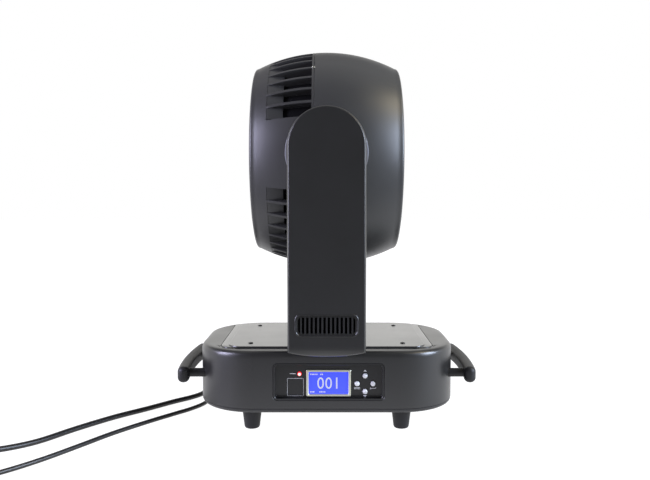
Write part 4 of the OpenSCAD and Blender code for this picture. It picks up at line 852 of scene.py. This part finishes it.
def handle(side):
    """A bowed grip with round ends on two stubs."""
    middle = GRIP_X - BOW_R
    bow = loft([[(middle + (BOW_R + u) * cos(a), (BOW_R + u) * sin(a), HANDLE_Z + v) for u, v in grip_section]
                for a in between(-BOW_HALF, BOW_HALF, 20)], (False, False))
    parts = [bow]
    for s in (-1, 1):
        ex, ey = middle + BOW_R * cos(BOW_HALF), s * BOW_R * sin(BOW_HALF)
        points = [(ex + u * cos(t), ey + u * sin(t), HANDLE_Z + v)
                  for t in between(s * BOW_HALF, s * (BOW_HALF + pi), 18) for u, v in grip_half]
        parts.append((points, strip(len(grip_half), 19)))
        stub = [(0, 146), (STUB_R, 146), (STUB_R, 187.5),
                (STUB_R + 0.6, 188.6), (STUB_R + 0.6, 193), (0, 193)]
        parts.append(moved(lathe(stub, 32), at(0, s * STUB_Y, HANDLE_Z) @ TO_X))
    if side < 0:
        parts = [moved(p, Matrix.Scale(-1, 4, (1, 0, 0))) for p in parts]
    return solid("handle_grip_left" if side < 0 else "handle_grip_right", *parts)


piece(handle(1), "base", "grip_plastic", "handle_right")
piece(handle(-1), "base", "grip_plastic", "handle_left")

foot_line = [(0, 3.2), (2.6, 3.2), (2.8, 0.5), (3.4, 0), (8.2, 0), (9.3, 0.5), (10, 1.4), (10.5, 3),
             (13.2, 25.6), (13.5, 26.2), (13.5, 27.3), (13.1, 28), (0, 28)]
for sx, sy, where in ((-1, -1, "fl"), (1, -1, "fr"), (-1, 1, "rl"), (1, 1, "rr")):
    place = at(sx * FOOT_AT[0], sy * FOOT_AT[1], 0)
    turned("foot_pad_" + where, foot_line, 40, place, "base", "foot_rubber", "foot_" + where)

corners = [radians(a + turn) for a in range(0, 360, 60) for turn in (-3, 3)]
hexagon = [[(r * cos(a), r * sin(a), z) for a in corners] for z,
           r in ((0, 10.2), (0.5, 11), (5.4, 11), (6, 10.2))]
relief = [(0, 4), (9, 4), (9, 12.5), (8.4, 13.2)]
for k in range(7):
    r, z = 8.1 - 0.5 * k, 13.6 + 2.9 * k
    relief += [(r, z), (r - 0.1, z + 1.8), (r - 1.0, z + 2.0), (r - 1.1, z + 2.8)]
relief += [(4.7, 34.4), (4.4, 35), (0, 35)]
gland_at = at(GLAND_X, REAR_IN, LEAD_Z) @ TO_BACK
piece(solid("cable_gland", moved(loft(hexagon), gland_at), moved(lathe(relief, 40), gland_at),
            moved(lathe([(0, -7), (10, -7), (10, -2.1), (7, -2.1), (7, 0.5), (0, 0.5)], 6), gland_at)),
      "base", "socket_plastic", "mains_gland")

plate = rounded(26, 31, 3, 6, 0.5)
inner_plate = rounded(25.2, 30.2, 2.6, 6, 0.5)
socket_rings = [[(x, y, z) for x, y in ring] for ring, z in (
    (ring_like(plate, 11), -21), (ring_like(plate, 11), 0), (plate, 0), (plate, 1.6), (inner_plate, 2),
    (ring_like(plate, 10.4), 2), (ring_like(plate, 9.5), 1.2), (ring_like(plate, 9.5), -14.5))]
contact = [(0, -15), (1.1, -15), (1.1, -5.4), (0.7, -4.8), (0, -4.6)]
socket_parts, contacts = [], []
for x in SIGNAL_X:
    place = at(x, REAR_IN, LEAD_Z) @ TO_BACK
    socket_parts.append(moved(loft(socket_rings), place))
    contacts += [moved(lathe(contact, 12), place @ at(4 * cos(a), 4 * sin(a), 0)) for a in (0.4, 2.5, 4.6)]
fuse_at = at(FUSE_X, REAR_IN, LEAD_Z) @ TO_BACK
fuse_line = [(0, -24), (6, -24), (6, 0), (8, 0), (8, 4.6), (7.8, 5.4), (7, 6), (4.6, 6), (4.2, 5.2), (0, 5.2)]
socket_parts.append(moved(lathe(fuse_line, 40), fuse_at))
socket_parts.append(moved(block(-3.8, -0.9, 4.8, 3.8, 0.9, 6.4, 0.3), fuse_at))
piece(solid("signal_socket_bodies", *socket_parts), "base", "socket_plastic", "signal_sockets")
piece(solid("signal_socket_contacts", *contacts), "base", "connector_metal")
flange_screw = settled(screw(2.4, 1.3, 1.4), "socket_flange_screws",
                       at(SIGNAL_X[0] - 10, REAR_IN + 2, LEAD_Z + 12) @ TO_BACK)
at_four(flange_screw, FINISH["screw_steel"], (SIGNAL_X[1] - SIGNAL_X[0], 0, 0), (20, 0, -24))
piece(flange_screw, "base", "screw_steel")

# ---------------------------------------------------------------- yoke

SAG_R = (ARM_R ** 2 + ARM_SAG ** 2) / (2 * ARM_SAG)
EDGE_DEEP, EDGE_IN = 8, 2.9             # the rounding of the arm's edge is deeper than it is wide
FOOT_ROWS = 9                           # rows of faces from the foot's corners to where the face turns flat
SAG_STEPS = 16                          # steps across the foot


def arm_line(inset):
    """Front outline of an arm, set in: a sagging foot, straight sides and a round top."""
    r = ARM_R - inset
    sag = [(x, ARM_LOW + SAG_R - sqrt((SAG_R - inset) ** 2 - x * x)) for x in between(-r, r, SAG_STEPS)]
    sides = between(sag[-1][1], ARM_LOW + ARM_FOOT + 2, FOOT_ROWS)[1:] + [ARM_TOP - 60, ARM_TOP - 2]
    top = arc(0, ARM_TOP, r, 0, 180, 30)
    return sag + [(r, z) for z in sides] + top + [(-r, z) for z in reversed(sides)]


def foot_depth(z):
    """How far out the face of an arm reaches at a height: it curves back to its foot."""
    if z >= ARM_LOW + ARM_FOOT:
        return ARM_OUT
    return ARM_OUT - ARM_FOOT + sqrt(ARM_FOOT ** 2 - (ARM_LOW + ARM_FOOT - z) ** 2)


def arm_shell():
    """Outer half of an arm, towards +Y: a rounded edge all round and a face that curves into the foot."""
    levels = [(ARM_SPLIT, 0.45), (ARM_SPLIT + 0.45, 0)]
    levels += [(ARM_OUT - EDGE_DEEP * (1 - sin(a)), EDGE_IN * (1 - cos(a))) for a in between(0, pi / 2, 9)]
    levels.append((ARM_OUT, EDGE_IN + 0.8))

    def bent(x, y, z):
        return x, ARM_SPLIT + (y - ARM_SPLIT) * (foot_depth(z) - ARM_SPLIT) / (ARM_OUT - ARM_SPLIT), z

    shell = loft([[bent(x, y, z) for x, z in arm_line(s)] for y, s in levels], (True, False))
    line = arm_line(levels[-1][1])
    columns = SAG_STEPS + 1
    grid = [line[:columns]] + [[(x, line[columns + k][1]) for x, _ in line[:columns]]
                               for k in range(FOOT_ROWS)]
    upper = line[columns + FOOT_ROWS:len(line) - FOOT_ROWS]
    points = [bent(x, ARM_OUT, z) for row in grid + [upper] for x, z in row]
    faces = strip(columns, FOOT_ROWS + 1) + [tuple(range(FOOT_ROWS * columns, len(points)))]
    return solid("arm", shell, (points, faces))


def arm_hollow(y0, y1, low=ARM_LOW + ARM_FOOT + 2):
    """The space inside an arm."""
    r = ARM_R - 3
    line = [(-r, low), (r, low)] + arc(0, ARM_TOP, r, 0, 180, 18)
    return loft([[(x, y0, z) for x, z in line], [(x, y1, z) for x, z in line]])


def arm_cover(side, turn):
    """One arm's outer cover with its grille: a bead round it, ribs in it and foam behind."""
    name = "arm_cover_outer_" + side

    def fixed(thing, part, *replaces, finish=None, slot="yoke_plastic"):
        thing.data.transform(turn)
        thing.name = thing.data.name = name + part
        piece(thing, "yoke", slot, *replaces, finish=finish)

    cover = cut(
        arm_shell(), arm_hollow(ARM_SPLIT - 1, ARM_OUT - 3),
        loft(upright(GRILLE_W, GRILLE_H, 5,
                     [(ARM_OUT - 1.5, 0), (ARM_OUT - 0.5, 0), (ARM_OUT + 0.1, -0.6), (ARM_OUT + 1, -1.5)],
                     0, GRILLE_Z)),
        loft(upright(GRILLE_W - 4, GRILLE_H - 4, 3.5,
                     [(ARM_OUT - 8, 0), (ARM_OUT - 2, 0), (ARM_OUT - 1.4, -0.4)], 0, GRILLE_Z)))
    fixed(cover, "", "arm_cover_" + side)
    bead_line = ((0.6, -0.5), (0.6, 0.2), (0.9, 0.55), (1.4, 0.7), (1.9, 0.55), (2.3, 0.1), (2.4, -0.5))
    bead = [upright(GRILLE_W + 2 * g, GRILLE_H + 2 * g, 5 + g, [(ARM_OUT + h, 0)], 0, GRILLE_Z)[0]
            for g, h in bead_line]
    fixed(solid("bead", loft(bead, loop=True)), "_grille_bead")
    rib = ((-1.1, 4.6), (1.1, 4.6), (1.1, 1.4), (0.7, 0.9), (-0.7, 0.9), (-1.1, 1.4))
    ribs = solid("rib", loft([[(x, ARM_OUT - y, GRILLE_Z + z) for x, y in rib]
                              for z in (-GRILLE_H / 2 + 1, GRILLE_H / 2 - 1)]))
    repeated(ribs, "copies_in_line", FINISH["yoke_plastic"], Count=13, Start=(-0.030, 0, 0),
             Step=(0.005, 0, 0))
    fixed(ribs, "_ribs")
    foam = block(-GRILLE_W / 2 - 1, ARM_OUT - 9, GRILLE_Z - GRILLE_H / 2 - 1,
                 GRILLE_W / 2 + 1, ARM_OUT - 7, GRILLE_Z + GRILLE_H / 2 + 1)
    fixed(solid("foam", foam), "_filter", finish=FILTER_FOAM, slot="carrier_plastic")


arm_cover("near", HALF_TURN)
arm_cover("far", Matrix.Identity(4))

arm_inner = loft([[(x, y, z) for x, z in arm_line(s)] for y, s in (
    (ARM_IN, 1.4), (ARM_IN + 0.4, 0.4), (ARM_IN + 1.4, 0), (ARM_SPLIT - 0.45, 0), (ARM_SPLIT, 0.45))])
half = ARM_R - 0.4                      # of the bridge, just inside the arms
bridge_line = [(-half, BRIDGE_LOW + 1), (1 - half, BRIDGE_LOW),
               (half - 1, BRIDGE_LOW), (half, BRIDGE_LOW + 1), (half, BRIDGE_TOP - 11)]
bridge_line += arc(half - 10, BRIDGE_TOP - 10, 10, 0, 90, 10) + [(34, BRIDGE_TOP), (-34, BRIDGE_TOP)]
bridge_line += arc(10 - half, BRIDGE_TOP - 10, 10, 90, 180, 10) + [(-half, BRIDGE_TOP - 11)]
bridge = solid("yoke_bridge", loft([[(x, y, z) for x, z in bridge_line] for y in (-ARM_IN - 3, ARM_IN + 3)]))
cut(bridge, arm_inner, moved(arm_inner, HALF_TURN), operation="UNION")
inside = arm_hollow(ARM_IN + 3, ARM_SPLIT + 1)
cut(bridge, block(3 - half, 3 - ARM_IN, BRIDGE_LOW - 2, half - 3, ARM_IN - 3, BRIDGE_TOP - 11, 0.1),
    inside, moved(inside, HALF_TURN), moved(lathe(drill(TRUNNION_R + 2, -210, 210), 48), HEAD @ TO_BACK))
piece(bridge, "yoke", "yoke_plastic", "yoke_cover")

# ---------------------------------------------------------------- head

ROUND = 180                             # steps round the barrel: 2 degrees each
END_X = HEAD_HALF - EDGE_R


def barrel(x):
    """Radius of the head at a place along its axis."""
    return sqrt(BARREL_R ** 2 - x * x) - BARREL_R + MID_R


def windowed(outer, inner):
    """A turned shell, as points (radius, x), with the vent windows open between two stations.
    outer and inner run the same way, with the stations at the same places in each."""
    line = outer + inner[::-1]
    n = len(line)
    points = [(r * cos(a), r * sin(a), x) for a in [2 * pi * k / ROUND for k in range(ROUND)] for r, x in line]
    within = [VENT_X0 - 0.01 <= x <= VENT_X1 + 0.01 for _, x in line]

    def is_open(k):
        return VENT_FROM <= 360 * (k + 0.5) / ROUND % 180 <= 180 - VENT_FROM

    faces = []
    for k in range(ROUND):
        a, b = k * n, (k + 1) % ROUND * n
        for i in range(n):
            j = (i + 1) % n
            if not (within[i] and within[j] and is_open(k)):
                faces.append((a + i, a + j, b + j, b + i))
    spots = [i for i in range(len(outer)) if within[i]]
    twin = {i: n - 1 - min(range(len(inner)), key=lambda m: abs(inner[m][1] - outer[i][1])) for i in spots}
    for k in range(ROUND):
        if is_open(k) != is_open((k - 1) % ROUND):
            faces += [(k * n + i, k * n + i + 1, k * n + twin[i + 1], k * n + twin[i]) for i in spots[:-1]]
        if is_open(k):
            a, b = k * n, (k + 1) % ROUND * n
            faces += [(a + i, b + i, b + twin[i], a + twin[i]) for i in (spots[0], spots[-1])]
    return points, faces


stations = [SEAM_X - 0.5] + between(VENT_X1, VENT_X0, 12) + between(VENT_X0 - 3, -END_X, 4)
outer_line = [(barrel(SEAM_X) - 0.6, SEAM_X)] + [(barrel(x), x) for x in stations]
flat_r = barrel(END_X) - EDGE_R         # radius of the flat end faces
outer_line += arc(flat_r, -END_X, EDGE_R, -15, -90, 5)
outer_line += [(flat_r - 1.5, -HEAD_HALF), (54, -HEAD_HALF), (53.2, -HEAD_HALF + 0.6)]
inner_line = [(barrel(SEAM_X) - 3.2, SEAM_X)] + [(barrel(x) - 3, x) for x in stations]
inner_line += [(flat_r - 0.5, -HEAD_HALF + 3.4), (53.2, -HEAD_HALF + 3)]
rear = solid("rear_housing", moved(windowed(outer_line, inner_line), HEAD_X))
pivot_bore = moved(lathe(drill(PIVOT_R + 0.4, -170, 170), 96), HEAD @ TO_BACK)
cut(rear, pivot_bore)
piece(rear, "head", "head_plastic", "rear_shell")

# Sloping floors of the slots, and a rim that stiffens their inner ends
ramp_line = [(barrel(x) - 0.4 - 6.8 * ((x - VENT_X0) / (RAMP_X - VENT_X0)) ** 1.15, x)
             for x in between(VENT_X0, RAMP_X, 7)]
ramp_line = [(barrel(VENT_X0 - 1.5) - 0.8, VENT_X0 - 1.5)] + ramp_line
ramp_line += [(r - 2.2, x) for r, x in ramp_line[:0:-1]] + [(barrel(VENT_X0 - 1.5) - 2.9, VENT_X0 - 1.5)]


def bands(line, spread):
    """A closed section swept round the head's axis behind the upper and behind the lower vents."""
    reach = 180 - 2 * VENT_FROM + 2 * spread
    sweeps = [[radians(half + VENT_FROM - spread + 2 * k) for k in range(round(reach / 2) + 1)]
              for half in (0, 180)]
    return [moved(loft([[(r * cos(a), r * sin(a), x) for r, x in line] for a in sweep]), HEAD_X)
            for sweep in sweeps]


piece(solid("vent_floors", *bands(ramp_line, 0.5)), "head", "head_plastic")

# Dust filters behind the slats
filter_line = [(barrel(x) - 11.3, x) for x in between(VENT_X0 + 6, VENT_X1 - 1, 6)]
filter_line += [(r - 1.3, x) for r, x in filter_line[::-1]]
piece(solid("vent_filters", *bands(filter_line, 2)), "head", "carrier_plastic", finish=FILTER_FOAM)

slat_rings = []
for x in between(VENT_X0 - 1, VENT_X1 + 1, 16):
    top, deep = barrel(x) + 0.02, 11 if x > RAMP_X - 4 else 9.5
    part = [(-1.3, top - deep), (-1.7, top - 4), (-2.0, top - 1.2), (-1.85, top - 0.3), (-1.4, top),
            (1.4, top), (1.85, top - 0.3), (2.0, top - 1.2), (1.7, top - 4), (1.3, top - deep)]
    slat_rings.append([(x, r, t) for t, r in part])
for name, half in (("vent_slats_upper", 0), ("vent_slats_lower", 180)):
    slats = repeated(solid(name, loft(slat_rings)), "turned_copies", FINISH["head_plastic"],
                     Count=SLATS, First=radians(VENT_FROM + VENT_PITCH + half),
                     Pitch=radians(VENT_PITCH), Centre=HEAD_CENTRE)
    piece(slats, "head", "head_plastic")

wire = arc(0, 1, 1.2, 0, 315, 7, 1.0)
guard = [moved(lathe([(r + u + 1.2, v - HEAD_HALF) for u, v in wire], 64, True), HEAD_X)
         for r in (18, 30, 42)]
guard += [moved(loft([[(u, y, v - HEAD_HALF) for u, v in wire] for y in (-54, 54)]),
                HEAD_X @ Matrix.Rotation(radians(a), 4, "Z")) for a in (0, 45, 90, 135)]
piece(solid("fan_guard", *guard), "head", "head_plastic")

front_line = [(barrel(SEAM_X) - 0.6, SEAM_X), (barrel(SEAM_X + 0.5), SEAM_X + 0.5)]
front_line += [(barrel(x), x) for x in between(SEAM_X + 3, END_X, 20)] + arc(flat_r, END_X, EDGE_R, 15, 90, 5)
front_line += [(LIP_R + 0.6, HEAD_HALF), (LIP_R, HEAD_HALF - 0.6), (LIP_R, HEAD_HALF - 3),
               (flat_r, HEAD_HALF - 3)]
front_line += [(barrel(x) - 3, x) for x in between(END_X - 1, SEAM_X + 7, 10)]
front_line += [(138, SEAM_X + 7), (138, SEAM_X + 4), (barrel(SEAM_X) - 3, SEAM_X + 4),
               (barrel(SEAM_X) - 3, SEAM_X)]
front = solid("front_housing", moved(lathe(front_line, ROUND, True), HEAD_X))
cut(front, pivot_bore)
piece(front, "head", "head_plastic", "front_shell")

SCREW_X = SEAM_X - 1
for name, first in (("shell_screws_a", 50), ("shell_screws_b", 130)):
    shell_screw = settled(screw(2.5, 1.2, 1.3), name, at(SCREW_X, barrel(SCREW_X) - 0.25, 0) @ TO_BACK)
    repeated(shell_screw, "turned_copies", FINISH["screw_steel"], Count=2, First=radians(first), Pitch=pi,
             Centre=HEAD_CENTRE)
    piece(shell_screw, "head", "screw_steel", "shell_screws")

# Pivot castings: a bare turned rim round a face, and the hollow shaft. The face is a thin dark disc of painted
# shade, standing for the shadow in the gap under the arm
for side, turn, out in (("near", TO_FRONT, 202), ("far", TO_BACK, 191)):
    line = [(10, 118), (10, out - 0.5), (10.5, out), (TRUNNION_R - 0.5, out), (TRUNNION_R, out - 0.5),
            (TRUNNION_R, PIVOT_OUT - 0.6), (46, PIVOT_OUT - 0.6), (46.4, PIVOT_OUT), (49.6, PIVOT_OUT),
            (50.5, PIVOT_OUT - 0.4), (PIVOT_R, PIVOT_OUT - 1.4), (PIVOT_R, 126), (47, 126), (47, 148),
            (TRUNNION_R, 148), (TRUNNION_R, 118)]
    face = [(15.2, PIVOT_OUT - 1), (45.7, PIVOT_OUT - 1), (45.7, PIVOT_OUT - 0.45), (15.2, PIVOT_OUT - 0.45)]
    turned("pivot_casting_" + side, line, 96, HEAD @ turn, "head", "pivot_cast", "trunnion_" + side, loop=True)
    # Dark disc on the casting's face: painted shade for the shadowed gap between the casting and the arm
    turned("pivot_painted_shade_" + side, face, 96, HEAD @ turn, "head", "pivot_cast", loop=True,
           finish=FINISH["deck_paint"])

# ---------------------------------------------------------------- optics and fan

ring_line = [(116.6, 87), (119.4, 87), (119.9, 87.5), (119.9, 94.8), (118.6, 94.8), (117.4, 94), (116.6, 92)]
turned("front_trim_ring", ring_line, 128, HEAD_X, "head", "carrier_plastic", "front_ring", loop=True)

DOME_H = 3.6
dome_r = (LENS_R ** 2 + DOME_H ** 2) / (2 * DOME_H)
lens_line = [(0, 0), (LENS_R - 2.2, 0), (LENS_R, 1.2), (LENS_R, LENS_H - DOME_H)]
lens_line += [(r, LENS_H - dome_r + sqrt(dome_r ** 2 - r ** 2))
              for r in [LENS_R * (1 - i / 7) for i in range(1, 7)]]
lens_line += [(0, LENS_H)]
chip_line = [(0, 0), (2.7, 0), (2.7, 0.4), (2.4, 1.0), (1.6, 1.6), (0.8, 1.9), (0, 2.0)]


def optics(name, profile, steps, x, finish):
    """One turned shape at every place of the lens pattern."""
    return repeated(solid(name, moved(lathe(profile, steps), TO_X)), "lens_pattern", finish, Rings=LENS_RINGS,
                    Pitch=LENS_PITCH * MM, Centre=(x * MM, 0, TILT_Z * MM))


piece(optics("zoom_lens_array", lens_line, 28, LENS_X, FINISH["lens_clear"]), "zoom_carriage", "lens_clear",
      "zoom_lenses", angle=40)
piece(optics("led_domes", chip_line, 16, LED_X, LED_PHOSPHOR), "head", "board_white", finish=LED_PHOSPHOR)

blade_rings = []
for r in between(19, 54, 8):
    pitch, half = radians(52 - 0.5 * (r - 19)), 8 + 0.1 * (r - 19)
    chord = [(-half, 0), (-half * 0.5, 0.9), (0, 1.4), (half * 0.5, 1.2), (half, 0.3),
             (half, -0.3), (half * 0.5, 0.0), (0, 0.1), (-half * 0.5, -0.3), (-half, -0.5)]
    across, along = sin(pitch), cos(pitch)
    blade_rings.append([(u * across + v * along, r, -u * along + v * across) for u, v in chord])
fan_centre = ((FAN_X + FAN_T / 2 - 1.5) * MM, 0, TILT_Z * MM)
blades = repeated(solid("fan_blades", loft(blade_rings)), "turned_copies", FINISH["fan_plastic"],
                  Count=BLADES, Pitch=2 * pi / BLADES, Centre=fan_centre)
piece(blades, "fan", "fan_plastic")
hub_line = [(0, 2.6), (14, 2.6), (15, 2), (18.6, 2), (20, 3.4), (20, FAN_T - 5),
            (3.2, FAN_T - 5), (3.2, 4), (0, 4)]
turned("fan_hub", [(r, FAN_X + x) for r, x in hub_line], 48, HEAD_X, "fan", "fan_plastic", "fan_rotor")
